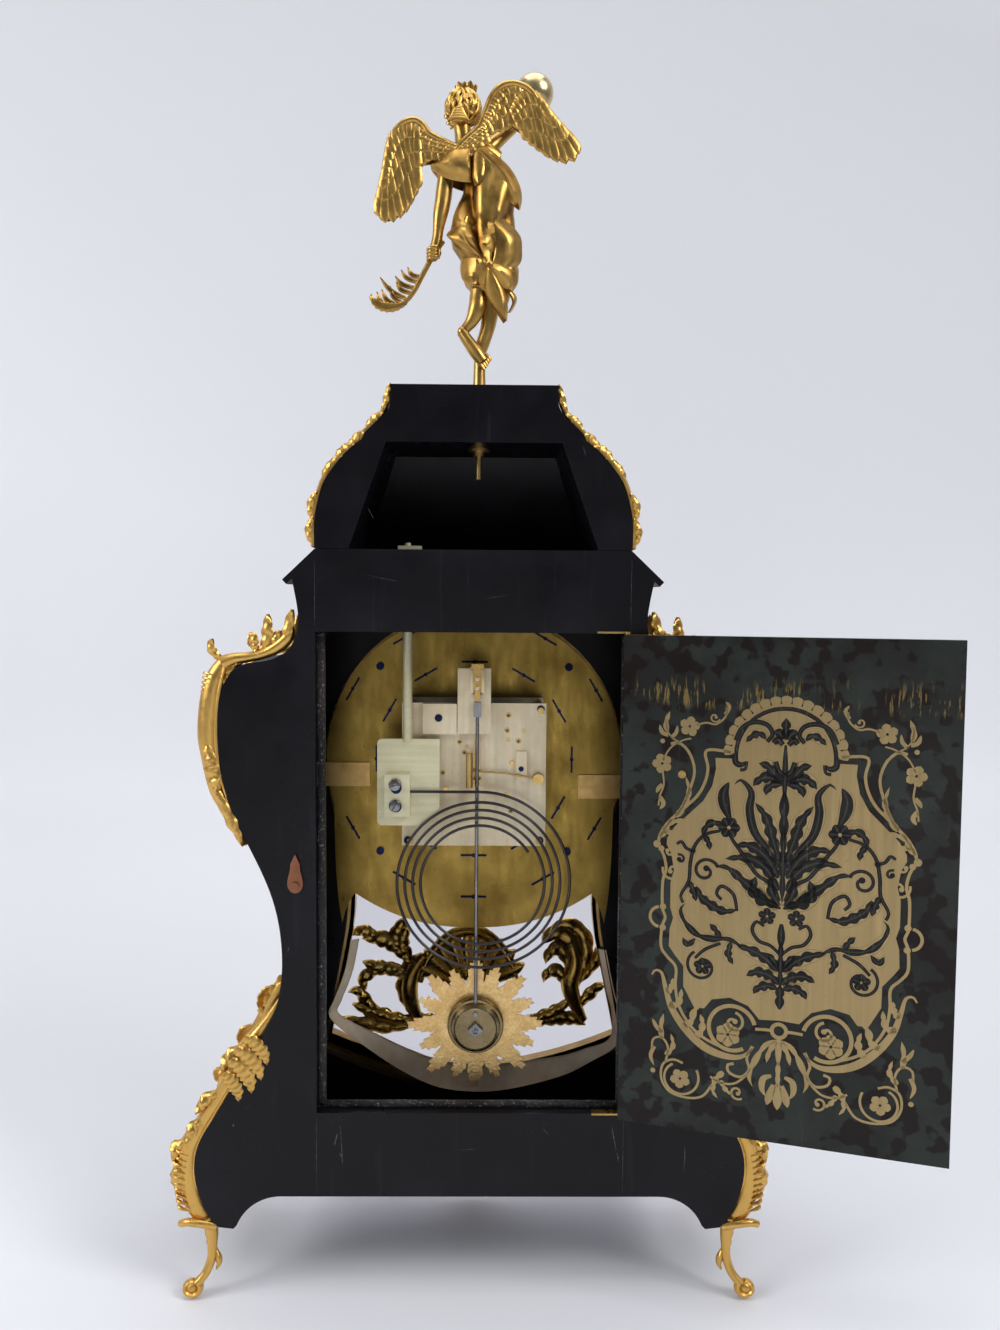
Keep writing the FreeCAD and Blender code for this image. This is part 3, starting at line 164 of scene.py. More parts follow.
def even_line(points, count, steps=8):
    """The smooth line through some points, at even distances."""
    fine = smooth_line(points, steps)
    reach = [0.0]
    for a, b in zip(fine, fine[1:]):
        reach.append(reach[-1] + (b - a).length)
    line = []
    index = 0
    for step in range(count + 1):
        wanted = reach[-1] * step / count
        while index < len(fine) - 2 and reach[index + 1] < wanted:
            index += 1
        span = max(reach[index + 1] - reach[index], 1e-9)
        line.append(fine[index].lerp(fine[index + 1], min(1.0, (wanted - reach[index]) / span)))
    return line


def crest_of(bm):
    """The layer that tells the finishes how high a place stands."""
    return bm.verts.layers.float.get("crest") or bm.verts.layers.float.new("crest")


def patch(bm, across, up, shape):
    """A grid bent to a formula: shape(a, b) gives a place, or a place and its crest height."""
    crest = crest_of(bm)
    made = bmesh.ops.create_grid(bm, x_segments=across, y_segments=up, size=0.5)["verts"]
    for vert in made:
        spot = shape(min(1.0, max(0.0, vert.co.x + 0.5)), min(1.0, max(0.0, vert.co.y + 0.5)))
        if isinstance(spot, tuple):
            spot, vert[crest] = spot
        else:
            vert[crest] = 0.7
        vert.co = spot


def frames(line, up=Vector((0, 1, 0))):
    """Side and face directions along a line, kept from twisting."""
    result = []
    for index in range(len(line)):
        ahead = line[min(index + 1, len(line) - 1)] - line[max(index - 1, 0)]
        ahead = ahead.normalized() if ahead.length > 1e-9 else Vector((0, 0, 1))
        side = ahead.cross(up)
        side = side.normalized() if side.length > 1e-6 else Vector((1, 0, 0))
        face = side.cross(ahead).normalized()
        result.append((side, face))
    return result


def tube(bm, points, radii, around=12, count=None, up=Vector((0, 1, 0)), flat=1.0):
    """A closed round length through some points, its radius passing through the given ones."""
    count = count or max(4, 4 * (len(points) - 1))
    line = even_line([Vector(point) for point in points], count, 6)
    sides = frames(line, up)
    thick = [Vector((radius, 0)) for radius in radii]
    widths = smooth_line(thick, 8) if len(thick) > 2 else [thick[0].lerp(thick[-1], s / 8) for s in range(9)]

    # a short round nose at both ends
    nose = (line[0] - line[1]).normalized() * along(widths, 0).x * 0.5
    tail = (line[-1] - line[-2]).normalized() * along(widths, 1).x * 0.5
    line = [line[0] + nose, *line, line[-1] + tail]
    sides = [sides[0], *sides, sides[-1]]
    steps_up = count + 2

    def shape(a, b):
        index = round(b * steps_up)
        radius = 0.0
        if 0 < index < steps_up:
            radius = max(0.0, along(widths, (index - 1) / count).x)
        side, face = sides[index]
        turn = 2 * math.pi * a
        return line[index] + side * (radius * math.cos(turn)) + face * (radius * flat * math.sin(turn)), 0.8

    patch(bm, around, steps_up, shape)


def leaf(bm, points, width, face, thick=1.2, lobes=0, cup=0.0, veins=True, tip=0.75, count=18, around=10,
         root=0.35):
    """A cast leaf: a flattened length with a lobed edge, a sunk midrib and raised veins on its face side."""
    line = even_line([Vector(point) for point in points], count)
    sides = frames(line, Vector(face))

    def half_width(b):
        swell = root + (1 - root) * math.sin(math.pi * min(1.0, b / tip) / 2) if b < tip else (
            math.cos(math.pi * (b - tip) / (1 - tip) / 2)) ** 0.7
        if lobes and 0.04 < b < 0.97:
            swell *= 0.8 + 0.24 * abs(math.sin(math.pi * lobes * b))
        return width * swell

    def shape(a, b):
        index = round(b * count)
        side, out = sides[index]
        turn = 2 * math.pi * a
        edge = math.cos(turn)
        reach = half_width(b) if 0 < index < count else 0.0
        rise = math.sin(turn)
        # painted shade in the crest: the rim and the sunk midrib get low values and the ripples follow their
        # height, so the gilt paints them darker
        height = thick * rise
        crest = 0.55 + 0.35 * abs(rise)
        if rise > 0 and veins:
            rib = math.exp(-(edge / 0.16) ** 2)
            height -= thick * 0.7 * rib
            crest -= 0.6 * rib
            if lobes:
                ripple = math.cos(2 * math.pi * lobes * b + 3.0 * abs(edge))
                height += thick * 0.35 * ripple * rise
                crest += 0.25 * ripple
        height -= cup * width * edge * edge
        return line[index] + side * (reach * edge) + out * height, max(0.0, min(1.0, crest))

    patch(bm, around, count, shape)


def ball(bm, centre, radius, squash=(1, 1, 1), parts=16):
    """A sphere, squashed along the axes where asked."""
    crest = crest_of(bm)
    matrix = Matrix.Translation(Vector(centre)) @ Matrix.Diagonal((*squash, 1))
    made = bmesh.ops.create_uvsphere(bm, u_segments=parts, v_segments=max(6, parts // 2), radius=radius,
                                     matrix=matrix)
    for vert in made["verts"]:
        vert[crest] = 0.85


def block(bm, low, high):
    """A box between two corners."""
    low, high = Vector(low), Vector(high)
    matrix = Matrix.Translation((low + high) / 2) @ Matrix.Diagonal((*(high - low), 1))
    bmesh.ops.create_cube(bm, size=1, matrix=matrix)


def plate(bm, outline, rear, front):
    """A flat plate between two values of y, from an outline in x and z."""
    verts = [bm.verts.new((x, rear, z)) for x, z in outline]
    edges = [bm.edges.new((a, b)) for a, b in zip(verts, verts[1:] + verts[:1])]
    filled = bmesh.ops.triangle_fill(bm, use_beauty=True, use_dissolve=False, edges=edges)
    faces = [item for item in filled["geom"] if isinstance(item, bmesh.types.BMFace)]
    grown = bmesh.ops.extrude_face_region(bm, geom=faces)
    moved = [item for item in grown["geom"] if isinstance(item, bmesh.types.BMVert)]
    bmesh.ops.translate(bm, vec=(0, front - rear, 0), verts=moved)


def soften(bm, width=None, limit=35, segments=2):
    """Round every sharp edge."""
    width = sizes().edge_round / MM if width is None else width
    sharp = [edge for edge in bm.edges if len(edge.link_faces) == 2
             and edge.calc_face_angle(0) > math.radians(limit)]
    bmesh.ops.bevel(bm, geom=sharp, offset=width, offset_type="OFFSET", affect="EDGES", segments=segments,
                    profile=0.5, material=-1, clamp_overlap=True)


def turn_out(bm, way):
    """Turn every face of an open sheet to the side that way points to."""
    bm.normal_update()
    bmesh.ops.reverse_faces(bm, faces=[face for face in bm.faces if face.normal.dot(way) < 0])


def show(item):
    """Put an object in the scene."""
    bpy.context.scene.collection.objects.link(item)


def finish(name, bm, material, body, covers=(), merge=0.01, smooth=True, recalc=True):
    """Close the mesh, bring it to metres and hang it on its body."""
    if merge:
        bmesh.ops.remove_doubles(bm, verts=bm.verts, dist=merge)
    if recalc:
        bmesh.ops.recalc_face_normals(bm, faces=bm.faces)
    bmesh.ops.scale(bm, vec=(MM, MM, MM), verts=bm.verts)
    mesh = bpy.data.meshes.new(name)
    bm.to_mesh(mesh)
    bm.free()
    if smooth:
        mesh.shade_smooth()
        mesh.set_sharp_from_angle(angle=math.radians(38))
    mesh.materials.append(material)
    piece = bpy.data.objects.new(name, mesh)
    show(piece)
    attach(piece, body)
    if covers:
        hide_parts(*covers)
    return piece


def dress(nodes, material):
    """Give nodes of the frame a finish and leave their shape alone."""
    for node in nodes:
        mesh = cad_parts[node].data
        mesh.materials.clear()
        mesh.materials.append(material)


# ---- shader helpers ----

class Finish:
    """A material under construction, with short ways to add and join nodes."""

    def __init__(self, name):
        self.material = bpy.data.materials.get(name) or bpy.data.materials.new(name)
        self.material.use_nodes = True
        self.tree = self.material.node_tree
        self.tree.nodes.clear()
        self.out = self.node("ShaderNodeOutputMaterial")
        self.shader = self.node("ShaderNodeBsdfPrincipled")
        self.join(self.shader.outputs[0], self.out.inputs[0])
        self.place = self.node("ShaderNodeTexCoord").outputs["Object"]

    def node(self, kind, **settings):
        item = self.tree.nodes.new(kind)
        for key, value in settings.items():
            setattr(item, key, value)
        return item

    def join(self, source, target):
        self.tree.links.new(source, target)

    def set(self, **values):
        for key, value in values.items():
            self.shader.inputs[key.replace("_", " ")].default_value = value

    def stretched(self, x, y, z):
        mapping = self.node("ShaderNodeMapping")
        mapping.inputs["Scale"].default_value = (x, y, z)
        self.join(self.place, mapping.inputs["Vector"])
        return mapping.outputs[0]

    def noise(self, scale, detail=4, rough=0.55, where=None):
        item = self.node("ShaderNodeTexNoise")
        item.inputs["Scale"].default_value = scale
        item.inputs["Detail"].default_value = detail
        item.inputs["Roughness"].default_value = rough
        self.join(where or self.place, item.inputs["Vector"])
        return item.outputs["Fac"]

    def cells(self, scale, where=None, feature="F1"):
        item = self.node("ShaderNodeTexVoronoi", feature=feature)
        item.inputs["Scale"].default_value = scale
        self.join(where or self.place, item.inputs["Vector"])
        return item.outputs["Distance"]

    def span(self, value, low, high, to_low=0.0, to_high=1.0):
        item = self.node("ShaderNodeMapRange")
        self.join(value, item.inputs["Value"])
        for key, number in (("From Min", low), ("From Max", high), ("To Min", to_low), ("To Max", to_high)):
            item.inputs[key].default_value = number
        return item.outputs[0]

    def blend(self, share, first, second):
        item = self.node("ShaderNodeMix", data_type="RGBA")
        if hasattr(share, "is_linked"):
            self.join(share, item.inputs["Factor"])
        else:
            item.inputs["Factor"].default_value = share
        for socket, value in ((item.inputs["A"], first), (item.inputs["B"], second)):
            if hasattr(value, "is_linked"):
                self.join(value, socket)
            else:
                socket.default_value = (*value, 1) if len(value) == 3 else value
        return item.outputs["Result"]

    def sum(self, first, second, operation="ADD"):
        item = self.node("ShaderNodeMath", operation=operation)
        for socket, value in ((item.inputs[0], first), (item.inputs[1], second)):
            if hasattr(value, "is_linked"):
                self.join(value, socket)
            else:
                socket.default_value = value
        return item.outputs[0]

    def attribute(self, name):
        return self.node("ShaderNodeAttribute", attribute_name=name).outputs["Fac"]

    def bump(self, height, strength, distance=0.0003):
        item = self.node("ShaderNodeBump")
        item.inputs["Strength"].default_value = strength
        item.inputs["Distance"].default_value = distance
        self.join(height, item.inputs["Height"])
        self.join(item.outputs[0], self.shader.inputs["Normal"])

    def feed(self, socket, value):
        self.join(value, self.shader.inputs[socket])

    def colour(self, value):
        self.feed("Base Color", value)

    def rough(self, scale, detail, low, high):
        """Roughness that wanders between two values."""
        self.feed("Roughness", self.span(self.noise(scale, detail), 0.3, 0.7, low, high))


def ebony_finish():
    """Black polish over close-grained wood, greyed and scratched in places."""
    made = Finish("ebonised_wood")
    tones = colours()
    rubs = made.span(made.noise(9, 6, 0.6), 0.45, 0.75)
    grain = made.noise(60, 5, 0.6, made.stretched(1, 1, 0.08))
    scratch = made.span(made.noise(140, 2, 0.5, made.stretched(1, 1, 0.05)), 0.66, 0.74)
    rough = made.span(made.noise(24, 5), 0.3, 0.7, 0.24, 0.42)
    wear = made.sum(rubs, 0.35, "MULTIPLY")
    wear = made.sum(wear, made.sum(scratch, 0.25, "MULTIPLY"))
    made.colour(made.blend(wear, tones.ebony, tones.ebony_rubbed))
    made.feed("Roughness", rough)
    made.set(Specular_IOR_Level=0.22)
    made.bump(made.sum(made.sum(grain, 0.5, "MULTIPLY"), made.noise(9, 2)), 0.12, 0.0006)
    return made.material


def scratch_finish():
    """Grey scratch where the polish is broken."""
    made = Finish("broken_polish")
    made.colour(made.blend(made.span(made.noise(300, 3), 0.35, 0.65), tone(92, 92, 98), tone(34, 33, 38)))
    made.rough(120, 3, 0.5, 0.8)
    made.bump(made.noise(300, 3), 0.2, 0.0003)
    return made.material


def rubbed_finish():
    """Black polish rubbed to bare wood and flecked along a much-used edge."""
    made = Finish("rubbed_edge")
    flecks = made.span(made.noise(420, 3, 0.7), 0.58, 0.68, 0, 0.8)
    rubs = made.span(made.noise(60, 5, 0.6, made.stretched(1, 1, 0.2)), 0.45, 0.7, 0, 0.6)
    base = made.blend(rubs, tone(20, 19, 22), tone(70, 62, 58))
    made.colour(made.blend(flecks, base, tone(150, 146, 144)))
    made.rough(80, 4, 0.35, 0.6)
    made.set(Specular_IOR_Level=0.3)
    made.bump(made.noise(260, 4, 0.7), 0.3, 0.0004)
    return made.material


def inner_wood_finish():
    """Stained wood inside the case, dusty and matt."""
    made = Finish("inner_wood")
    tones = colours()
    grain = made.noise(30, 6, 0.65, made.stretched(1, 0.15, 1))
    dust = made.span(made.noise(18, 5), 0.5, 0.8, 0.0, 0.35)
    base = made.blend(made.span(grain, 0.3, 0.75), tone(16, 12, 11), tones.bare_wood)
    made.colour(made.blend(dust, base, tone(84, 70, 56)))
    made.feed("Roughness", made.span(grain, 0.3, 0.7, 0.6, 0.85))
    made.bump(grain, 0.3, 0.0006)
    return made.material


def shell_finish():
    """Dark shell veneer with dark red spots and rubbed streaks."""
    made = Finish("dark_shell")
    tones = colours()
    warp = made.noise(16, 4)
    spots = made.span(made.sum(made.noise(74, 2, 0.4), made.sum(warp, 0.6, "MULTIPLY")), 0.83, 0.88, 0.0,
                      0.85)
    clouds = made.span(made.noise(14, 5, 0.6), 0.4, 0.65)
    ground = made.blend(clouds, tone(32, 33, 30), tones.shell_green)
    coloured = made.blend(spots, ground, tones.shell_red)
    height = made.node("ShaderNodeSeparateXYZ")
    made.join(made.place, height.inputs[0])
    band = made.span(height.outputs["Z"], 0.500, 0.506)
    band = made.sum(band, made.span(height.outputs["Z"], 0.516, 0.529, 1.0, 0.0), "MULTIPLY")
    streak = made.span(made.noise(430, 3, 0.6, made.stretched(1, 1, 0.14)), 0.56, 0.62, 0, 0.8)
    streak = made.sum(made.sum(streak, band, "MULTIPLY"), made.span(made.noise(15, 2), 0.42, 0.5), "MULTIPLY")
    streak = made.sum(streak, made.span(made.noise(120, 3, 0.6, made.stretched(1, 1, 0.06)), 0.66, 0.78, 0,
                                        0.1))
    made.colour(made.blend(streak, coloured, tone(128, 108, 62)))
    made.rough(50, 4, 0.26, 0.4)
    made.set(Specular_IOR_Level=0.2)
    made.bump(made.noise(90, 4, 0.6, made.stretched(1, 1, 0.2)), 0.08, 0.0004)
    return made.material


def metal_finish(name, light, dark, low_rough, high_rough, brush=(1, 1, 1), brush_scale=220, spots=0.3,
                 strength=0.1, metal=1.0):
    """Brushed and toned metal: fine lines one way, cloudy tarnish and small spots."""
    made = Finish(name)
    lines = made.noise(brush_scale, 4, 0.6, made.stretched(*brush))
    clouds = made.span(made.noise(22, 6, 0.6), 0.35, 0.75)
    flecks = made.span(made.noise(260, 2), 0.68, 0.78, 0, spots)
    base = made.blend(clouds, light, dark)
    base = made.blend(made.span(lines, 0.3, 0.7, 0, 0.3), base, tuple(value * 0.6 for value in light))
    made.colour(made.blend(flecks, base, tuple(value * 0.25 for value in dark)))
    made.feed("Roughness", made.span(lines, 0.25, 0.75, low_rough, high_rough))
    made.set(Metallic=metal)
    made.bump(lines, strength, 0.0002)
    return made.material


def gilt_finish(name="gilt_bronze", glow=1.0, chased=0.5):
    """Fire-gilt casting: bright on the crests, brown in the hollows from patina and painted shade, finely
    chased.
    """
    made = Finish(name)
    tones = colours()
    crest = made.attribute("crest")
    grime = made.noise(70, 5, 0.6)
    # painted shade with patina: low crest values blend the gilt towards the hollow colour
    height = made.span(made.sum(crest, made.sum(grime, 0.5, "MULTIPLY")), 0.5, 1.0)
    high = tuple(min(1.0, value * glow) for value in tones.gilding)
    base = made.blend(height, tones.gilding_patina_and_shade, high)
    patches = made.span(made.noise(40, 4), 0.62, 0.75, 0, 0.35)
    made.colour(made.blend(patches, base, tone(150, 104, 52)))
    made.rough(110, 5, 0.26, 0.46)
    made.set(Metallic=1.0)
    made.bump(made.noise(180, 5, 0.7), chased, 0.0006)
    return made.material


def hammered_finish():
    """Sheet bronze hammered into small facets and gilt matt."""
    made = Finish("hammered_gilt")
    facets = made.cells(420)
    clouds = made.span(made.noise(60, 5), 0.35, 0.75)
    base = made.blend(clouds, tone(244, 212, 150), tone(222, 182, 116))
    made.colour(made.blend(made.span(facets, 0.2, 0.8, 0, 0.35), base, tone(186, 138, 74)))
    made.rough(200, 4, 0.34, 0.5)
    made.set(Metallic=1.0)
    made.bump(made.sum(facets, made.noise(500, 3), "ADD"), 0.35, 0.0004)
    return made.material


def engraved_finish():
    """Inlay brass whose ribbon edges carry a fine engraved outline."""
    made = Finish("engraved_brass")
    tones = colours()
    line = made.span(made.attribute("crest"), 0.93, 0.97, 0.0, 0.75)
    clouds = made.span(made.noise(22, 5), 0.35, 0.75)
    base = made.blend(clouds, tones.inlay, tone(170, 146, 102))
    made.colour(made.blend(line, base, tone(52, 44, 34)))
    made.rough(120, 4, 0.34, 0.5)
    made.set(Metallic=1.0)
    made.bump(made.noise(240, 3), 0.05, 0.0002)
    return made.material


def foliage_finish():
    """Dark shell leaves with a pale engraved middle line."""
    made = Finish("shell_foliage")
    vein = made.span(made.attribute("crest"), 0.05, 0.22, 0.35, 0.0)
    hatch = made.span(made.noise(420, 2, 0.5, made.stretched(1, 1, 0.3)), 0.6, 0.7, 0, 0.3)
    ground = made.blend(made.span(made.noise(30, 4), 0.35, 0.7), tone(18, 16, 16), tone(34, 34, 32))
    made.colour(made.blend(made.sum(vein, hatch), ground, tone(96, 92, 80)))
    made.rough(50, 4, 0.3, 0.45)
    made.set(Specular_IOR_Level=0.2)
    made.bump(made.noise(300, 3), 0.08, 0.0002)
    return made.material


def globe_finish():
    """Pale gilt sphere with a cloudy silver bloom."""
    made = Finish("pale_gilt")
    bloom = made.span(made.noise(60, 5), 0.35, 0.7)
    made.colour(made.blend(bloom, tone(226, 208, 160), tone(186, 160, 108)))
    made.rough(120, 5, 0.2, 0.4)
    made.set(Metallic=1.0)
    made.bump(made.noise(140, 4), 0.12, 0.0004)
    return made.material


def enamel_finish():
    """White enamel of the hour plaques."""
    made = Finish("enamel")
    tones = colours()
    cloud = made.span(made.noise(40, 4), 0.3, 0.7)
    made.colour(made.blend(cloud, tones.enamel, tuple(value * 0.93 for value in tones.enamel)))
    made.rough(90, 3, 0.12, 0.22)
    made.bump(made.noise(60, 3), 0.05, 0.0003)
    return made.material


def glass_finish():
    """Old flat glass, faintly uneven and dusty, its grey tint painted shade that dims what is seen through
    it.
    """
    made = Finish("glass")
    # the grey base colour is a little dust and mostly painted shade, dimming the room seen through the glass
    made.set(Base_Color=(0.7, 0.7, 0.73, 1), Transmission_Weight=1.0, IOR=1.06, Alpha=1.0)
    dust = made.span(made.noise(30, 5), 0.45, 0.8, 0.0, 0.05)
    made.feed("Roughness", dust)
    made.bump(made.noise(12, 2), 0.02, 0.0005)
    return made.material


FINISHES = {}


def material(name):
    """The finish of that name, made the first time it is asked for."""
    if name not in FINISHES:
        tones = colours()
        # name, light, dark, least and most roughness, brushing, its scale, spots, relief, share of metal
        metals = {
            "inlay": ("inlay_brass", tones.inlay, tone(170, 146, 102), 0.34, 0.5, (1, 1, 0.04), 260, 0.25,
                      0.05),
            "ornament": ("ornament_gilt", tone(232, 190, 96), tone(104, 78, 30), 0.14, 0.32, (1, 1, 1), 70,
                         0.3, 0.6),
            "bob": ("bob_brass", tone(150, 134, 100), tone(104, 90, 62), 0.2, 0.36, (1, 1, 1), 200, 0.3),
            "plate": ("plate_brass", tones.plate_brass, tone(206, 184, 142), 0.3, 0.46, (1, 1, 0.03), 300,
                      0.3, 0.1, 0.35),
            "gong_plate": ("gong_plate_brass", tones.gong_brass, tone(206, 196, 152), 0.34, 0.5,
                           (0.04, 1, 1), 260, 0.2, 0.1, 0.4),
            "dial_back": ("dial_brass", tones.dial_brass, tone(112, 86, 36), 0.24, 0.44, (1, 1, 0.3), 120,
                          0.4, 0.2),
            "brass": ("bright_brass", tone(224, 190, 120), tone(168, 130, 68), 0.22, 0.4, (1, 0.1, 1), 260,
                      0.3),
            "frame_gilt": ("frame_gilt", tone(226, 190, 124), tone(156, 112, 52), 0.28, 0.46, (1, 1, 1), 160,
                           0.3),
            "copper": ("toned_copper", tone(176, 122, 92), tone(112, 70, 50), 0.3, 0.5, (1, 1, 1), 160, 0.4),
            # the liner's cream and brown are painted lighter than its own colour: painted light for the shade
            # it stands in
            "liner": ("window_liner", tone(255, 240, 214), tone(222, 176, 124), 0.5, 0.7, (1, 1, 1), 90, 0.3,
                      0.1, 0.0),
            "steel": ("ground_steel", tones.steel, tone(110, 108, 108), 0.2, 0.38, (1, 1, 0.1), 300, 0.3),
            "wire": ("gong_wire", tones.dark_steel, tone(50, 46, 46), 0.25, 0.42, (1, 1, 1), 200, 0.4),
            "blued": ("blued_steel", tones.blued, tone(20, 20, 30), 0.16, 0.3, (1, 1, 1), 200, 0.2),
        }
        makers = {
            "ebony": ebony_finish,
            "inner_wood": inner_wood_finish,
            "shell": shell_finish,
            "gilt": gilt_finish,
            "figure": lambda: gilt_finish("figure_gilt", 0.72, 0.25),
            "wing": lambda: gilt_finish("wing_gilt", 0.86, 0.6),
            "hammered": hammered_finish,
            "engraved": engraved_finish,
            "foliage": foliage_finish,
            "globe": globe_finish,
            "scratch": scratch_finish,
            "rubbed": rubbed_finish,
            "enamel": enamel_finish,
            "glass": glass_finish,
        }
        FINISHES[name] = metal_finish(*metals[name]) if name in metals else makers[name]()
    return FINISHES[name]


# ---- room, light and camera ----

def make_stage():
    """A pale sweep behind and under the clock, soft lamps and the camera of the photograph."""
    tones = colours()
    profile = smooth_line([(0, y, z) for y, z in SWEEP], 10)
    bm = bmesh.new()

    def sweep(a, b):
        index = round(b * (len(profile) - 1))
        return Vector(((a - 0.5) * 2 * SWEEP_HALF, profile[index].y, max(0.0, profile[index].z)))

    patch(bm, 8, len(profile) - 1, sweep)
    turn_out(bm, (0, 1, 1))
    mesh = bpy.data.meshes.new("floor")
    bm.to_mesh(mesh)
    bm.free()
    mesh.shade_smooth()
    sheet = bpy.data.objects.new("floor", mesh)
    show(sheet)
    made = Finish("room_paper")
    cloud = made.span(made.noise(0.9, 2), 0.3, 0.7)
    paper = made.blend(cloud, tuple(tones.room), tuple(value * 0.97 for value in tones.room))
    part = made.node("ShaderNodeSeparateXYZ")
    made.join(made.place, part.inputs[0])
    # painted shade: the paper darkens by up to a third towards the top of the sweep and towards -x
    high = made.sum(part.outputs["Z"], made.sum(part.outputs["X"], -0.25, "MULTIPLY"))
    made.colour(made.blend(made.span(high, 0.6, 1.6), paper, tuple(value * 0.68 for value in tones.room)))
    made.set(Roughness=0.8)
    made.bump(made.noise(40, 2), 0.02, 0.0005)
    mesh.materials.append(made.material)
    world = bpy.context.scene.world or bpy.data.worlds.new("room")
    bpy.context.scene.world = world
    world.use_nodes = True
    background = world.node_tree.nodes["Background"]
    background.inputs[0].default_value = (*tone(214, 220, 236), 1)
    background.inputs[1].default_value = 0.22
    for name, spot, aim, size, watts in LAMPS:
        lamp = bpy.data.lights.new(name, "AREA")
        lamp.shape = "SQUARE"
        lamp.size = size
        lamp.energy = watts
        item = bpy.data.objects.new(name, lamp)
        item.location = spot
        item.rotation_euler = (Vector(aim) - Vector(spot)).to_track_quat("-Z", "Y").to_euler()
        show(item)
    camera_data = bpy.data.cameras.new("camera")
    camera_data.sensor_fit = "VERTICAL"
    camera_data.sensor_height = LENS_FRAME_HIGH
    camera_data.lens = LENS
    camera = bpy.data.objects.new("camera", camera_data)
    look = Matrix.Rotation(math.pi - CAMERA_YAW, 4, "Z") @ Matrix.Rotation(math.pi / 2 + CAMERA_PITCH, 4, "X")
    camera.matrix_world = (Matrix.Translation(CAMERA_PLACE * MM) @ look
                           @ Matrix.Rotation(CAMERA_ROLL, 4, "Z"))
    show(camera)
    bpy.context.scene.camera = camera
    bpy.context.scene.view_settings.view_transform = "Standard"


# ---- case, movement and other pieces whose shape the frame already has ----

def dress_case():
    """Ebony, inner wood, brasses, glass and shell on the case, doors and dome."""
    outside = ["back_stile_right", "back_stile_left", "back_top_rail", "back_bottom_rail", "front_board",
               "cornice_boards", "dome_back_frame", "dome_shell", "case_top_board"]
    dress(outside, material("ebony"))
    dress(["side_wall_right", "side_wall_left", "case_floor_board"], material("inner_wood"))
    dress(["case_brasses", "rear_door_brasses", "front_door_knuckles"], material("brass"))
    dress(["turn_button"], material("copper"))
    dress(["front_door_frame", "figure_stud"], material("frame_gilt"))
    dress(["front_door_glass"], material("glass"))
    dress(["rear_door_panel"], material("shell"))


def dress_movement():
    """Brass, steel, blueing and enamel on the movement, gong and dial."""
    dress(["back_plate", "front_plate", "back_cock", "plate_cocks"], material("plate"))
    dress(["gong_stand", "gong_block"], material("gong_plate"))
    dress(["plate_pillars", "going_barrel", "strike_barrel", "centre_arbor", "third_wheel", "escape_wheel",
           "minute_wheel", "hour_wheel", "pin_wheel", "warning_wheel", "fly", "pallet_anchor",
           "suspension_spring", "hammer"], material("brass"))
    dress(["dial_plate"], material("dial_back"))
    dress(["dial_straps"], material("frame_gilt"))
    dress(["movement_screws", "dial_fixings", "hour_hand", "minute_hand"], material("blued"))
    dress(["pendulum_rod"], material("steel"))
    dress(["gong_coil"], material("wire"))
    dress(["dial_cartouches"], material("enamel"))


# ---- rear door: brass and dark shell marquetry ----

def spiral(centre, start_radius, end_radius, start_angle, turns):
    """Points of a curl that winds inwards; angles in degrees."""
    points = []
    steps = 26
    for step in range(steps + 1):
        share = step / steps
        angle = math.radians(start_angle + 360 * turns * share)
        radius = start_radius + (end_radius - start_radius) * share
        points.append((centre[0] + radius * math.cos(angle), centre[1] + radius * math.sin(angle)))
    return points


def stroke(bm, points, width, lift, side=1, lobes=0, tip=0.0, root=1.0, count=None):
    """A flat ribbon of sheet on the door's inner face; width may swell to a leaf with a lobed edge."""
    line = even_line([Vector((side * u, 0, z)) for u, z in points], count or max(8, 3 * len(points)))
    last = len(line) - 1
    sides = frames(line)

    def half(share):
        if tip == 0:
            return width / 2 * (root + (1 - root) * math.sin(math.pi * share))
        swell = root + (1 - root) * math.sin(math.pi / 2 * min(1.0, share / tip)) if share < tip else (
            max(0.0, math.cos(math.pi / 2 * (share - tip) / (1 - tip))) ** 0.75)
        if lobes:
            swell *= 0.56 + 0.5 * abs(math.sin(math.pi * lobes * share))
        return width / 2 * swell

    def shape(a, b):
        index = round(b * last)
        across = (a - 0.5) * 2
        spot = line[index] + sides[index][0] * (across * half(index / last))
        spot.y = -lift
        return spot, abs(across)

    patch(bm, 4, last, shape)


def blossom(bm, centre, radius, lift, petals=5, side=1, turn=90):
    """A small flower of round petals."""
    for number in range(petals):
        angle = math.radians(turn + 360 / petals * number)
        aim = Vector((math.cos(angle), math.sin(angle)))
        start = Vector(centre) + aim * radius * 0.12
        end = Vector(centre) + aim * radius
        stroke(bm, [tuple(start), tuple(start.lerp(end, 0.6)), tuple(end)], radius * 0.8, lift, side,
               tip=0.62, root=0.25, count=8)


def spot(bm, centre, radius, lift, side=1, parts=18):
    """A round dot of sheet."""
    crest = crest_of(bm)
    turn = Matrix.Rotation(math.radians(90), 4, "X")
    made = bmesh.ops.create_circle(bm, cap_ends=True, cap_tris=True, segments=parts, radius=radius,
                                   matrix=Matrix.Translation((side * centre[0], -lift, centre[1])) @ turn)
    for vert in made["verts"]:
        vert[crest] = 0.5


def curl(bm, centre, radius, angle, turns, width, lift, side=1):
    """A scroll that ends in a round eye."""
    points = spiral(centre, radius, radius * 0.22, angle, turns)
    stroke(bm, points, width, lift, side)
    spot(bm, points[-1], width * 0.95, lift + 0.01, side)


def arc_points(centre, radius, start, end, steps=24):
    """Points of an arc; angles in degrees."""
    return [(centre[0] + radius * math.cos(math.radians(start + (end - start) * step / steps)),
             centre[1] + radius * math.sin(math.radians(start + (end - start) * step / steps)))
            for step in range(steps + 1)]


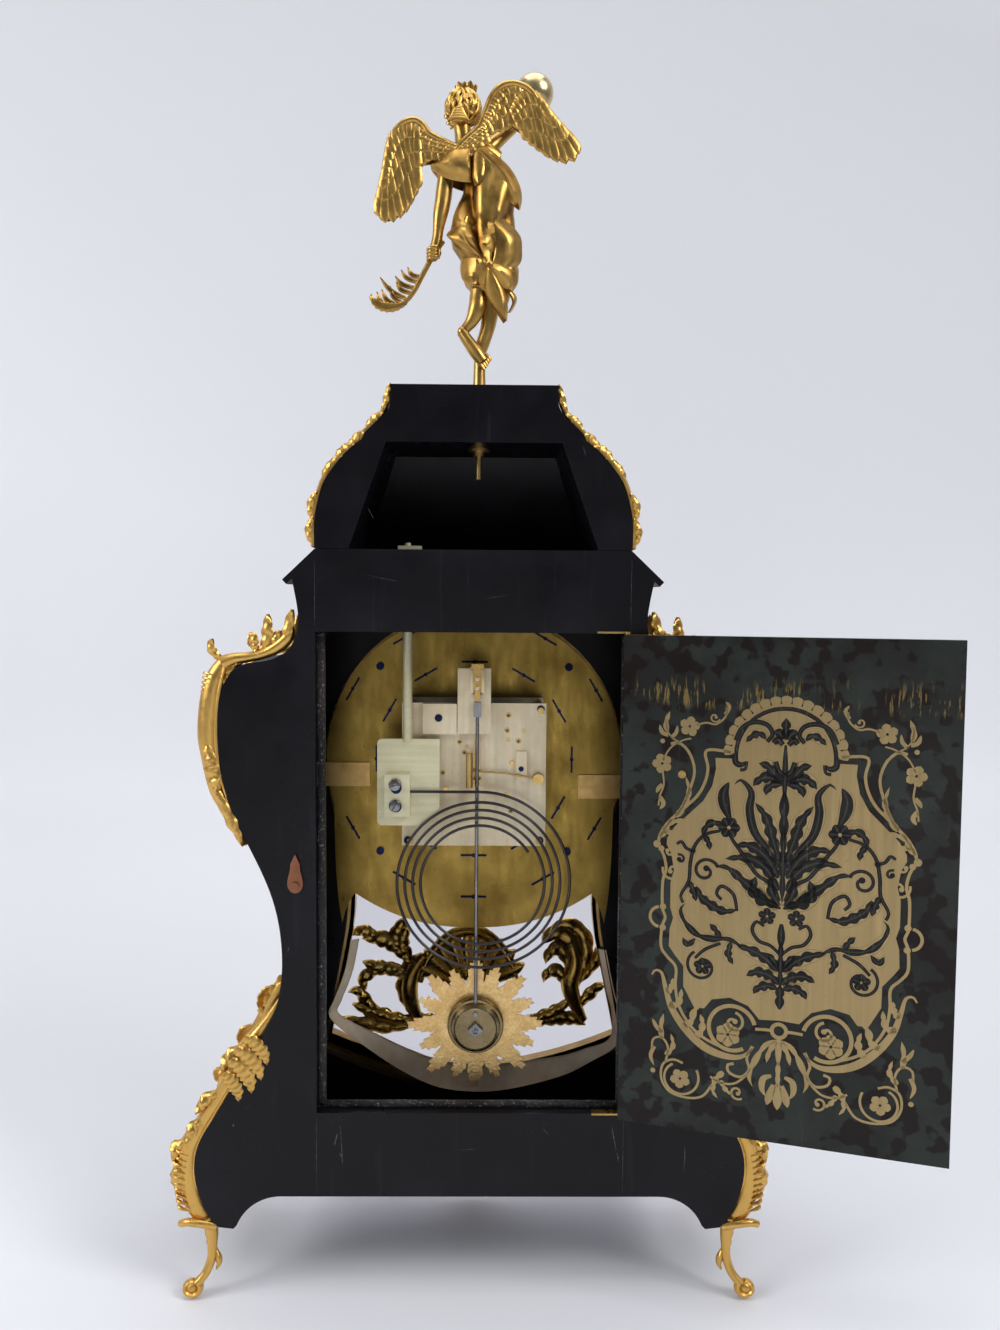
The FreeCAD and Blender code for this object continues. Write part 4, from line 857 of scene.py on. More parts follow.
ARCH = (0, 467)
BORDER = [(41, 468.5), (60, 469), (58.6, 455), (61, 443), (67, 432), (77, 422), (89, 410), (95.5, 399),
          (96, 391), (92, 383), (90, 372), (92.5, 362), (92.5, 341), (90, 333), (92.5, 325), (93, 309),
          (88, 301), (81, 293), (81, 278), (78, 262), (69, 247), (58, 238), (46, 233)]


def inset_points(points, gap):
    """An outline's half moved towards the middle of the panel."""
    moved = []
    for index, (u, z) in enumerate(points):
        before = Vector(points[max(index - 1, 0)])
        after = Vector(points[min(index + 1, len(points) - 1)])
        ahead = (after - before).normalized()
        moved.append((u - gap * abs(ahead.y) - gap * 0.2,
                      z - gap * (abs(ahead.x) if ahead.x > 0 else -abs(ahead.x))))
    return moved


def field_half():
    """Half of the brass field's outline, from the top of the arch to the link at the bottom."""
    arch = arc_points(ARCH, 35.5, 90, 2, 20)
    inner = inset_points(BORDER[1:19], 5.2)
    foot = [(66, 262), (58, 262), (52, 270), (38, 273), (24, 268), (15, 258), (0, 259)]
    return arch + [(37, 463.5), (53, 463.5)] + inner[1:] + foot


def make_door():
    """The rear door's shell panel gets its brass field, dark foliage, scrolled border and corner sprays."""
    brass, dark, halo = bmesh.new(), bmesh.new(), bmesh.new()
    rise = sizes().inlay_rise / MM
    field, over, top = rise, rise + 0.05, rise + 0.1
    half = field_half()
    outline = half + [(-u, z) for u, z in reversed(half[1:-1])]
    verts = [brass.verts.new((u, -field, z)) for u, z in outline]
    edges = [brass.edges.new((a, b)) for a, b in zip(verts, verts[1:] + verts[:1])]
    bmesh.ops.triangle_fill(brass, use_beauty=True, use_dissolve=False, edges=edges)
    crest = crest_of(brass)
    for vert in brass.verts:
        vert[crest] = 0.5
    # the ring of gadroons over the arch
    for number in range(17):
        angle = math.radians(4 + 172 / 16 * number)
        aim = Vector((math.cos(angle), math.sin(angle)))
        inner, outer = Vector(ARCH) + aim * 40.5, Vector(ARCH) + aim * 47.2
        stroke(brass, [tuple(inner), tuple(inner.lerp(outer, 0.6)), tuple(outer)], 8.0, field, tip=0.7,
               root=0.75, count=8)
    stroke(brass, arc_points(ARCH, 39.7, 0, 180, 40), 2.2, over, count=60)
    both = (1, -1)
    for side in both:
        def ribbon(points, width, **form):
            stroke(brass, points, width, over, side, **form)

        stroke(brass, BORDER, 2.3, field, side, count=120)
        # side volutes, open rings and clasping leaves of the border
        curl(brass, (85, 371), 8, 20, -1.1, 2.0, over, side)
        curl(brass, (88, 387), 6, 80, 0.8, 1.8, over, side)
        ribbon(arc_points((94, 333), 8.2, -80, 80), 2.4)
        spot(brass, (92, 341.5), 2.6, over, side)
        spot(brass, (92, 324.5), 2.6, over, side)
        spot(brass, (97.5, 392), 3.0, over, side)
        spot(brass, (94, 388.5), 2.4, over, side)
        ribbon([(97, 394), (90, 408), (80, 420), (73, 436), (69, 452), (73, 466), (81, 474), (88, 473)], 2.2)
        ribbon([(83, 415), (76, 424), (73, 436), (76, 448)], 5.0, lobes=4, tip=0.4)
        ribbon([(92, 401), (87, 410), (78, 412), (70, 416)], 4.6, lobes=4, tip=0.45)
        ribbon([(96, 398), (90, 402), (84, 400), (80, 394)], 4.4, lobes=3, tip=0.5)
        # top corner spray
        ribbon([(72, 478), (79, 476), (88, 470), (94, 460)], 1.3)
        ribbon([(68, 489), (60, 491), (53, 490), (46, 496), (45, 503)], 1.5)
        curl(brass, (54, 495.5), 4.2, 200, 0.95, 1.3, over, side)
        ribbon([(46, 498), (43, 504), (46, 508)], 3.0, tip=0.5)
        blossom(brass, (73.3, 487.5), 8.2, over, 5, side, 100)
        blossom(brass, (94.5, 457), 8.2, over, 5, side, 70)
        ribbon([(80, 474), (87, 478), (91, 484), (92, 492)], 1.2)
        ribbon([(91, 483), (92, 490), (89, 499)], 4.4, lobes=2, tip=0.4)
        ribbon([(90, 480), (95, 482), (97, 488)], 3.4, tip=0.5)
        ribbon([(88, 478), (84, 482), (83, 488)], 3.0, tip=0.5)
        spot(brass, (94.5, 475), 1.9, over, side)
        ribbon([(94, 450), (93, 440), (96, 431), (97, 423)], 1.4)
        ribbon([(94, 440), (97, 437), (99, 433)], 3.4, tip=0.5)
        ribbon([(96, 430), (93, 425), (96, 420)], 3.6, tip=0.5)
        # lower leafy scrolls
        ribbon([(100, 285), (97, 289), (92, 287), (89, 276), (84, 260), (73, 244), (58, 231), (42, 225.5),
                (28, 226.5), (18, 236)], 6.4, tip=0.6, root=0.2, count=60)
        for points in (([(86, 262), (80, 262), (77, 268), (76, 276)]),
                       ([(74, 246), (68, 250), (66, 258), (60, 268)]),
                       ([(64, 238), (60, 243), (59, 250), (61, 257)]), ([(88, 272), (84, 276), (83, 284)])):
            ribbon(points, 5.6, lobes=3, tip=0.45)
        ribbon(arc_points((36, 248.5), 18.0, -120, 165, 40), 3.2, count=60)
        curl(brass, (35, 253), 8.5, 100, 1.1, 2.2, over, side)
        blossom(brass, (39, 243), 10.0, over, 6, side, 30)
        ribbon([(18, 250), (11, 250.5), (6, 250.5)], 2.4)
        ribbon([(20, 236), (24, 226), (22, 217), (28, 210), (37, 212), (39, 218), (34, 220)], 2.2)
        ribbon([(24, 212), (33, 204), (44, 203), (52, 207)], 1.8)
        ribbon([(42, 212), (48, 205), (50, 196), (46, 190)], 5.0, lobes=4, tip=0.4)
        ribbon([(44, 205), (40, 198), (34, 194)], 4.0, lobes=3, tip=0.45)
        curl(brass, (31, 197), 6, 230, 1.0, 1.8, over, side)
        # bottom corner spiral with flower and buds
        ribbon(spiral((76, 203), 15, 12, 150, 0.75), 1.9)
        ribbon([(51, 200), (58, 190), (70, 187), (84, 190), (91, 200), (90, 212), (82, 217), (74, 215)], 1.9,
               count=40)
        blossom(brass, (76, 202), 8.2, over, 5, side, 60)
        ribbon([(88, 214), (86, 226), (91, 234), (98, 232), (99, 224)], 1.8)
        ribbon([(88, 220), (82, 228), (84, 238)], 4.4, lobes=3, tip=0.45)
        ribbon([(91, 233), (92, 243), (90, 254)], 4.4, lobes=2, tip=0.45)
        ribbon([(91, 238), (96, 243), (99, 249)], 3.4, tip=0.5)
        ribbon([(97, 226), (100, 218), (97, 210)], 3.2, tip=0.4)
        spot(brass, (98, 206), 2.0, over, side)
        # bell of leaves under the link
        ribbon([(2, 243), (10, 238), (17, 226), (22, 212), (19, 203)], 5.0, lobes=3, tip=0.5, root=0.5)
        ribbon([(2, 242), (7, 233), (9, 224)], 4.4, lobes=2, tip=0.5)
        ribbon([(5, 214), (11, 211), (12, 203), (9, 197)], 5.0, tip=0.45, root=0.5)
        ribbon([(3, 207), (6, 198), (8, 190)], 6.0, tip=0.6, root=0.6)
        # dark band inside the arch and its curled feet
        stroke(dark, arc_points(ARCH, 37.3, 0, 90, 30), 3.2, over, side, count=50)
        stroke(dark, [(37.6, 468), (37.5, 461), (33, 459), (29, 462)], 5.0, over, side, tip=0.5, root=0.8)
        stroke(dark, [(29, 462), (30, 456), (34, 455)], 2.6, over, side)
    stroke(brass, arc_points((0, 250.7), 5.4, 0, 360, 40), 3.0, top, count=50)
    stroke(brass, [(0, 245), (0, 232), (0, 222)], 5.0, over, tip=0.4, root=0.6)
    stroke(brass, [(0, 226), (0, 214), (0, 205)], 4.4, over, lobes=2, tip=0.5, root=0.4)
    stroke(brass, [(0, 208), (0, 196), (0, 187)], 7.0, over, tip=0.6, root=0.5)
    # dark foliage let into the field
    middle = [([(0, 480), (0, 488), (0, 497)], 8.4, 2), ([(0, 476), (0, 452), (0, 430)], 4.6, 0),
              ([(0, 440), (0, 428), (0, 414), (0, 400)], 8.4, 2), ([(0, 414), (0, 385), (0, 352)], 6.6, 3),
              ([(0, 336), (0, 328), (0, 316)], 6.0, 0), ([(0, 322), (0, 300), (0, 284)], 5.8, 3),
              ([(0, 268), (0, 280), (0, 288)], 8.0, 2)]
    for points, width, lobes in middle:
        stroke(dark, points, width, top, lobes=lobes, tip=0.5, root=0.4, count=24)
    foliage = [
        ([(1, 481), (5, 485), (9, 486)], 6.4, 0), ([(2, 476), (6, 480), (9, 477)], 4.4, 0),
        ([(14, 478), (10, 484), (14, 491), (24, 493), (33, 488), (38, 478)], 3.6, 0),
        ([(15, 480), (19, 484), (25, 482), (30, 477)], 5.0, 3),
        ([(2, 446), (8, 453), (13, 459), (20, 461)], 7.0, 3),
        ([(3, 447), (11, 450), (18, 449), (24, 443)], 7.0, 3),
        ([(2, 445), (8, 445), (13, 441), (14, 436)], 6.0, 2), ([(0, 452), (5, 456), (7, 463)], 4.0, 0),
        ([(3, 380), (12, 394), (22, 407), (26, 424), (25, 438), (33, 447), (38, 443)], 5.4, 0),
        ([(2, 384), (8, 402), (13, 418), (22, 430)], 7.6, 5),
        ([(3, 372), (13, 388), (26, 396), (36, 395)], 8.2, 5),
        ([(3, 362), (12, 378), (26, 386), (44, 384)], 7.6, 5),
        ([(2, 354), (8, 366), (20, 374), (30, 388), (40, 402), (40, 410)], 3.0, 0),
        ([(1, 348), (12, 354), (28, 366), (42, 377), (52, 377)], 6.4, 5),
        ([(3, 350), (16, 354), (22, 362), (20, 372)], 8.6, 4),
        ([(2, 350), (7, 358), (9, 366), (8, 374)], 6.0, 3),
        ([(41, 416), (45, 426), (46, 436), (42, 445)], 7.4, 0),
        ([(44, 410), (54, 412), (60, 407), (62, 401)], 5.4, 3),
        ([(48, 406), (60, 402), (68, 392), (71, 378), (72, 364), (78, 352), (76, 346)], 2.8, 0),
        ([(61, 402), (57, 396), (56, 390)], 4.6, 2),
        ([(67, 388), (74, 390), (78, 395), (82, 393)], 2.6, 0),
        ([(66, 360), (62, 352), (54, 346), (44, 342), (34, 344)], 6.8, 5),
        ([(72, 364), (68, 356), (66, 348)], 5.4, 3),
        ([(34, 343), (37, 356), (46, 362), (50, 356), (46, 351)], 2.8, 0),
        ([(1, 312), (8, 318), (17, 321), (22, 329), (19, 336), (13, 333)], 2.8, 0),
        ([(2, 298), (10, 306), (20, 312), (34, 316)], 7.0, 4),
        ([(30, 315), (40, 320), (52, 319), (64, 321), (74, 330), (78, 340), (74, 346)], 4.6, 4),
        ([(46, 320), (50, 326), (55, 331)], 4.6, 2),
        ([(1, 288), (8, 294), (18, 296), (26, 292)], 7.4, 4),
        ([(2, 284), (9, 286), (17, 283), (20, 278)], 6.4, 3), ([(2, 300), (5, 306), (11, 312)], 5.0, 2),
        ([(38, 318), (40, 308), (36, 300)], 5.0, 3), ([(66, 318), (72, 312), (76, 318)], 4.0, 2),
        ([(46, 316), (58, 310), (66, 302)], 2.6, 0)]
    curls = [((59, 373), 10.5, 160, -1.15, 2.6), ((60, 296), 13.0, 60, -1.2, 2.4),
             ((79, 381), 4.0, 60, 0.8, 2.0)]
    for side in both:
        for points, width, lobes in foliage:
            leafy = bool(lobes) or width > 5
            width *= 1.25 if leafy else 1.1
            stroke(halo, points, width + 2.6, field + 0.03, side, tip=0.6 if leafy else 0.0,
                   root=0.6 if leafy else 0.8, count=20)
            stroke(dark, points, width, top, side, lobes=lobes, tip=0.5 if leafy else 0.0,
                   root=0.35 if leafy else 0.8, count=26)
        for centre, radius, angle, turns, width in curls:
            curl(dark, centre, radius, angle, turns, width, top, side)
        blossom(dark, (41.5, 409), 8.8, top + 0.02, 6, side, 0)
        blossom(dark, (60, 296), 7.2, top + 0.02, 5, side, 90)
        blossom(dark, (11, 341), 7.0, top + 0.02, 5, side, 90)
        spot(halo, (41.5, 409), 1.4, top + 0.05, side)
    # every layer is turned from the closed door to the open one
    opened = (Matrix.Translation(HINGE) @ Matrix.Rotation(DOOR_OPEN, 4, "Z")
              @ Matrix.Translation(Vector((-HINGE.x, DOOR_INSIDE - HINGE.y, 0))))
    for bm, name, finish_name in ((brass, "door_inlay_brass", "inlay"),
                                  (halo, "door_inlay_engraved", "engraved"),
                                  (dark, "door_inlay_shell", "foliage")):
        bmesh.ops.transform(bm, matrix=opened, verts=bm.verts)
        outward = Matrix.Rotation(DOOR_OPEN, 3, "Z") @ Vector((0, -1, 0))
        turn_out(bm, outward)
        finish(name, bm, material(finish_name), "rear_door", merge=0, smooth=False,
               recalc=False)


# ---- gilt bronze castings ----

def cast_leaf(bm, side, end, points, width, lobes=4, thick=2.2, y=66):
    """A chased leaf of a corner mount, its points in x and z; end is +1 at the rear and -1 at the front."""
    line = [(side * x, end * (y + (index * 0.6)), z) for index, (x, z) in enumerate(points)]
    leaf(bm, line, width, (side * 0.5, end, 0), thick, lobes, 0.15, True, 0.55, 16, 10, 0.35)


def cast_rod(bm, side, end, points, radii, y=68, flat=1.3, around=12, count=None):
    """A rounded rod of a corner mount, its points in x and z; end as in cast_leaf."""
    tube(bm, [(side * x, end * y, z) for x, z in points], radii, around, count, (0, end, 0), flat)


def make_shoulder_mounts():
    """Four gilt scrolls over the case's shoulders, ribbed on the outer bend and leafy at the top."""
    bm = bmesh.new()
    for side in (1, -1):
        for end in (1, -1):
            back = 70 if end > 0 else 74
            cast_rod(bm, side, end, [(150, 566), (149, 558), (155, 550), (166, 543), (180, 538.5),
                                     (194, 536.5), (203, 533)], [2.8, 5.2, 5.4, 4.6, 4.2, 4.8, 6.4],
                     back - 1, 1.1, 12, 34)
            cast_rod(bm, side, end, [(201, 534), (207, 526), (211.5, 513), (214.5, 493), (215.5, 474),
                                     (214, 459), (211, 438), (208, 427), (202.5, 416), (195.5, 400),
                                     (186, 383)], [6.4, 8.6, 9.6, 9.8, 9.6, 8.8, 7.8, 7.0, 6.0, 4.4, 1.2],
                     back - 3, 0.85, 14, 56)
            # ribs across the outer bend
            for number in range(17):
                share = number / 16
                z = 524 - 62 * share
                x = 209.5 + 6.2 * math.sin(math.pi * (0.12 + 0.5 * share))
                tube(bm, [(side * (x - 4.0), end * (back + 1.5), z - 0.8), (side * x, end * (back + 3.4), z),
                          (side * (x + 6.2), end * (back + 0.6), z + 1.0),
                          (side * (x + 8.2), end * (back - 5), z + 1.2)],
                     [0.4, 0.9, 1.1, 0.6], 8, 12, (0, end, 0))
            cast_rod(bm, side, end, [(201, 530), (206, 508), (208.5, 480), (207, 455), (203, 434),
                                     (192, 402)], [1.4, 1.9, 1.9, 1.8, 1.6, 0.8], back + 3.5, 1.0, 8, 40)
            cast_leaf(bm, side, end, [(204, 536), (210, 541), (213, 547), (211, 553)], 4.6, 3, 2.0, back)
            cast_leaf(bm, side, end, [(172, 544), (168, 553), (167, 563), (166, 573)], 6.0, 3, 2.2, back)
            cast_leaf(bm, side, end, [(176, 543), (178, 549), (178, 554), (181, 558)], 5.2, 3, 2.0, back)
            cast_leaf(bm, side, end, [(158, 550), (152, 558), (149, 567), (146, 577)], 5.0, 2, 2.6, back + 1)
            cast_leaf(bm, side, end, [(163, 546), (160, 554), (156, 560)], 4.4, 2, 2.2, back + 1)
            cast_leaf(bm, side, end, [(186, 536), (196, 532), (201, 524), (203, 508)], 6.4, 4, 2.4, back - 1)
            # the lower half ends in two folded leaves
            cast_leaf(bm, side, end, [(216, 470), (214.5, 455), (211, 440), (206, 427)], 8.0, 5, 3.2,
                      back + 2)
            cast_leaf(bm, side, end, [(211, 436), (204, 419), (196, 402), (186, 384)], 6.0, 4, 3.0, back + 2)
    finish("shoulder_castings", bm, material("gilt"), "case", ["shoulder_mounts"])


def make_foot_mounts():
    """Four leafy gilt corner mounts that run down into scrolled feet."""
    bm = bmesh.new()
    for side in (1, -1):
        for end in (1, -1):
            back = 68 if end > 0 else 72
            cast_rod(bm, side, end, [(159, 254), (166, 240), (175, 226), (186, 210), (192, 200), (199, 186),
                                     (208, 170), (218, 156), (227, 140), (235, 126), (237, 111), (236, 98),
                                     (234, 86), (230, 74), (223, 63)],
                     [1.2, 3.6, 5.6, 8.0, 8.0, 7.4, 7.4, 7.6, 7.4, 9.0, 9.8, 9.4, 9.6, 9.0, 7.6], back - 3,
                     0.8, 14, 76)
            cast_rod(bm, side, end, [(178, 214), (194, 188), (210, 161), (225, 133), (229.5, 112), (228, 95),
                                     (219, 76)], [1.2, 1.8, 2.0, 2.2, 2.2, 2.0, 1.2], back + 3, 1.0, 8, 50)
            # the leg, its knee and the scroll foot
            tube(bm, [(side * 221, end * (back - 1), 66), (side * 217, end * back, 54),
                      (side * 216.5, end * (back + 1), 42), (side * 217, end * (back + 2), 32),
                      (side * 221, end * (back + 5), 21), (side * 228, end * (back + 7), 13)],
                 [6.5, 5.4, 4.2, 3.8, 3.6, 3.8], 14, 30, (0, end, 0), 1.1)
            tube(bm, [(side * 214, end * back, 40), (side * 210.8, end * (back + 1), 28),
                      (side * 213, end * (back + 2), 22)],
                 [1.0, 3.0, 1.0], 10, 10, (0, end, 0), 1.2)
            curled = []
            for step in range(25):
                reach = 1 - 0.62 * step / 24
                angle = math.radians(140 + 480 * step / 24)
                curled.append((side * (232.5 + 7.4 * reach * math.cos(angle)),
                               end * (back + 6 + 1.5 * math.sin(step / 4)),
                               9.4 + 6.6 * reach * math.sin(angle)))
            tube(bm, curled, [2.8, 2.7, 2.4, 2.0], 10, 48, (0, end, 0), 1.6)
            ball(bm, (side * 232.5, end * (back + 6), 8.8), 5.2, (1.1, 0.9, 1.0), 14)
            # the ledge that caps the leg
            tube(bm, [(side * 212, end * (back + 4), 61), (side * 224, end * (back + 5), 63.5),
                      (side * 236, end * (back + 4), 64), (side * 243, end * (back + 1), 61)],
                 [3.6, 3.6, 3.4, 3.0], 10, 20, (0, end, 0))
            for points, width, lobes in (([(216, 66), (219, 54), (217, 42), (218, 32)], 5.2, 4),
                                         ([(228, 72), (238, 84), (243, 100), (247, 116)], 6.6, 6),
                                         ([(236, 84), (244, 92), (247, 103), (244, 112)], 6.6, 5),
                                         ([(230, 124), (240, 128), (247, 126), (247, 116)], 6.0, 4),
                                         ([(221, 150), (229, 147), (234, 141), (236, 131)], 5.2, 3),
                                         ([(207, 172), (216, 171), (223, 166), (228, 156)], 5.6, 3),
                                         ([(188, 212), (197, 209), (203, 202), (208, 190)], 6.0, 4),
                                         ([(192, 206), (186, 197), (180, 190), (180, 180)], 7.0, 5),
                                         ([(196, 202), (190, 190), (186, 184), (188, 176)], 6.6, 5),
                                         ([(184, 222), (176, 214), (172, 206), (172, 198)], 6.2, 4),
                                         ([(222, 100), (229, 114), (231, 130), (226, 144)], 3.4, 0)):
                cast_leaf(bm, side, end, points, width, lobes, 2.6, back)
            # leaf tips laid over the face of the case
            for points, width in (([(200, 204), (191, 198), (184, 189), (181, 177)], 7.0),
                                  ([(195, 213), (185, 208), (177, 199), (173, 188)], 6.6),
                                  ([(188, 223), (179, 219), (172, 211), (168, 201)], 6.0),
                                  ([(205, 194), (198, 186), (193, 178), (192, 170)], 6.0)):
                leaf(bm, [(side * x, end * (CASE_REAR + 0.2 if end > 0 else 65.2), z) for x, z in points],
                     width * 1.1, (0, end, 0), 1.3, 6, 0.1, True, 0.5, 40, 10, 0.5)
            for number in range(10):
                share = number / 9
                spot_x = 243.5 + 2.8 * math.sin(math.pi * share)
                z = 76 + 48 * share
                tube(bm, [(side * (spot_x - 8), end * (back + 4.6), z - 2),
                          (side * spot_x, end * (back + 2.4), z),
                          (side * (spot_x + 1.6), end * (back - 3), z + 1)], [0.7, 1.7, 0.9], 8, 8,
                     (0, end, 0))
    finish("foot_castings", bm, material("gilt"), "case", ["foot_mounts"])


def make_apron_mount():
    """The small gilt casting under the middle of the front."""
    bm = bmesh.new()
    for side in (1, -1):
        for points, width, lobes in (([(2, 60), (14, 68), (28, 78), (42, 84), (58, 88)], 8.5, 6),
                                     ([(2, 40), (12, 34), (26, 40), (34, 52)], 7.5, 5),
                                     ([(4, 74), (12, 82), (20, 88)], 7.0, 4),
                                     ([(4, 30), (12, 22), (20, 24)], 6.0, 3)):
            cast_leaf(bm, side, -1, points, width, lobes, 2.6, 69)
        cast_rod(bm, side, -1, [(3, 50), (16, 56), (34, 66), (54, 80)], [4.6, 4.0, 3.2, 1.8], 68, 1.1, 12, 24)
    for number in range(7):
        angle = math.radians(-60 + 20 * number)
        aim = Vector((math.sin(angle), 0, math.cos(angle)))
        base = Vector((0, -70, 50))
        leaf(bm, [base, base + aim * 16, base + aim * 30], 5.4, (0, -1, 0), 2.6, 0, 0.1, True, 0.6)
    ball(bm, (0, -70, 44), 9, (1, 0.5, 1.1))
    leaf(bm, [(0, -70, 40), (0, -71, 26), (0, -70, 11)], 7.5, (0, -1, 0), 2.6, 4)
    finish("apron_casting", bm, material("gilt"), "case", ["apron_mount"])


def make_dome_mounts():
    """Long gilt leaves along the dome's two rear edges."""
    bm = bmesh.new()
    side_line = [(129, 628), (129.5, 645), (127.5, 660), (122, 679), (113, 693), (103, 704.5), (92, 713),
                 (88.5, 719), (81, 727), (74, 735), (69.5, 745), (68.5, 756)]
    for side in (1, -1):
        cast_rod(bm, side, 1, side_line, [2.6, 3.0, 2.8, 2.8, 3.0, 3.2, 3.0, 2.4, 2.8, 2.6, 2.2, 1.6], 69,
                 1.5, 10, 60)
        for points, width, lobes in (([(129, 630), (133, 637), (132, 646), (128, 652)], 4.2, 3),
                                     ([(130, 650), (132, 658), (130, 666), (125, 672)], 3.8, 3),
                                     ([(122, 678), (119, 688), (112, 696), (104, 700)], 4.4, 5),
                                     ([(112, 694), (108, 702), (100, 708), (94, 708)], 5.0, 4),
                                     ([(104, 704), (97, 712), (92, 718), (87, 718)], 4.2, 4),
                                     ([(88, 718), (84, 726), (77, 733), (72, 734)], 4.0, 4),
                                     ([(74, 734), (71, 744), (69, 752), (67, 758)], 3.6, 3)):
            cast_leaf(bm, side, 1, points, width, lobes, 2.0, 70)
    finish("dome_castings", bm, material("gilt"), "dome", ["dome_mounts"])


def make_sunburst():
    """The pendulum's hammered sun of stepped rays and its turned brass bob."""
    low, high = ends_of("pendulum_sunburst")
    middle = Vector(((low[0] + high[0]) / 2, 0, (low[2] + high[2]) / 2))
    reach = (high[2] - low[2]) / 2
    maker = random.Random(11)
    bm = bmesh.new()
    outline = []
    bundles = 16
    for bundle in range(bundles):
        centre = 360 / bundles * bundle + 90
        length = reach * (1.0 - 0.09 * (bundle % 2) - maker.uniform(0, 0.05))
        spread = 360 / bundles
        lean = maker.choice((-0.06, 0.06))
        # each bundle is one long blunt ray with shorter square steps beside it
        for offset, share in ((-0.50, 0.68), (-0.44, 0.69), (-0.43, 0.81), (-0.31, 0.82), (-0.30, 0.91),
                              (-0.17, 0.9), (-0.16, 1.0), (-0.03, 0.98), (0.10, 1.0), (0.11, 0.9),
                              (0.24, 0.91), (0.26, 0.79), (0.37, 0.78), (0.41, 0.67)):
            angle = math.radians(centre + spread * (offset + lean * share + maker.uniform(-0.012, 0.012)))
            radius = length * share * (1 + maker.uniform(-0.012, 0.012))
            outline.append((middle.x + radius * math.cos(angle), middle.z + radius * math.sin(angle)))
    plate(bm, outline, low[1], high[1])
    bmesh.ops.recalc_face_normals(bm, faces=bm.faces)
    soften(bm, 0.25, 50, 1)
    finish("sun_rays", bm, material("hammered"), "pendulum", ["pendulum_sunburst"],
           smooth=False)
    bm = bmesh.new()
    rear = high[1]
    profile = [(0, -1), (24, -1), (24.4, 0.6), (24.4, 6.5), (23.4, 8), (21.6, 8.2), (20.6, 12.0),
               (18.6, 13.2), (18.2, 12.6), (17.6, 13.3), (0, 13.5)]
    lathe(bm, middle.x, rear, middle.z, profile)
    finish("bob", bm, material("bob"), "pendulum", ["pendulum_bob"])
    bm = bmesh.new()
    face = rear + 13.5
    turn = Matrix.Rotation(math.radians(45), 4, "Y")
    bmesh.ops.create_cube(bm, size=1, matrix=Matrix.Translation((middle.x, face + 1.8, middle.z)) @ turn
                          @ Matrix.Diagonal((9.5, 3.6, 9.5, 1)))
    soften(bm, 0.5, 40, 2)
    lathe(bm, middle.x, face + 3.4, middle.z, [(0, 0), (2.6, 0), (2.4, 1.4), (1.4, 2.2), (0, 2.4)], 20)
    screw(bm, (middle.x, face, middle.z + 13), 2.3, 1.2)
    finish("bob_nut", bm, material("steel"), "pendulum")


def lathe(bm, x, y, z, profile, parts=56):
    """A turned piece about the y axis through (x, z); profile as radius and height above y."""
    verts = [bm.verts.new((x + radius, y + height, z)) for radius, height in profile]
    edges = [bm.edges.new((a, b)) for a, b in zip(verts, verts[1:])]
    bmesh.ops.spin(bm, geom=verts + edges, cent=(x, y, z), axis=(0, 1, 0), angle=2 * math.pi, steps=parts,
                   use_merge=True)


def screw(bm, spot_at, radius, high):
    """A domed screw head standing on a face."""
    x, y, z = spot_at
    lathe(bm, x, y, z, [(0, -0.2), (radius, -0.2), (radius, high * 0.55), (radius * 0.86, high),
                        (0, high * 1.05)], 24)


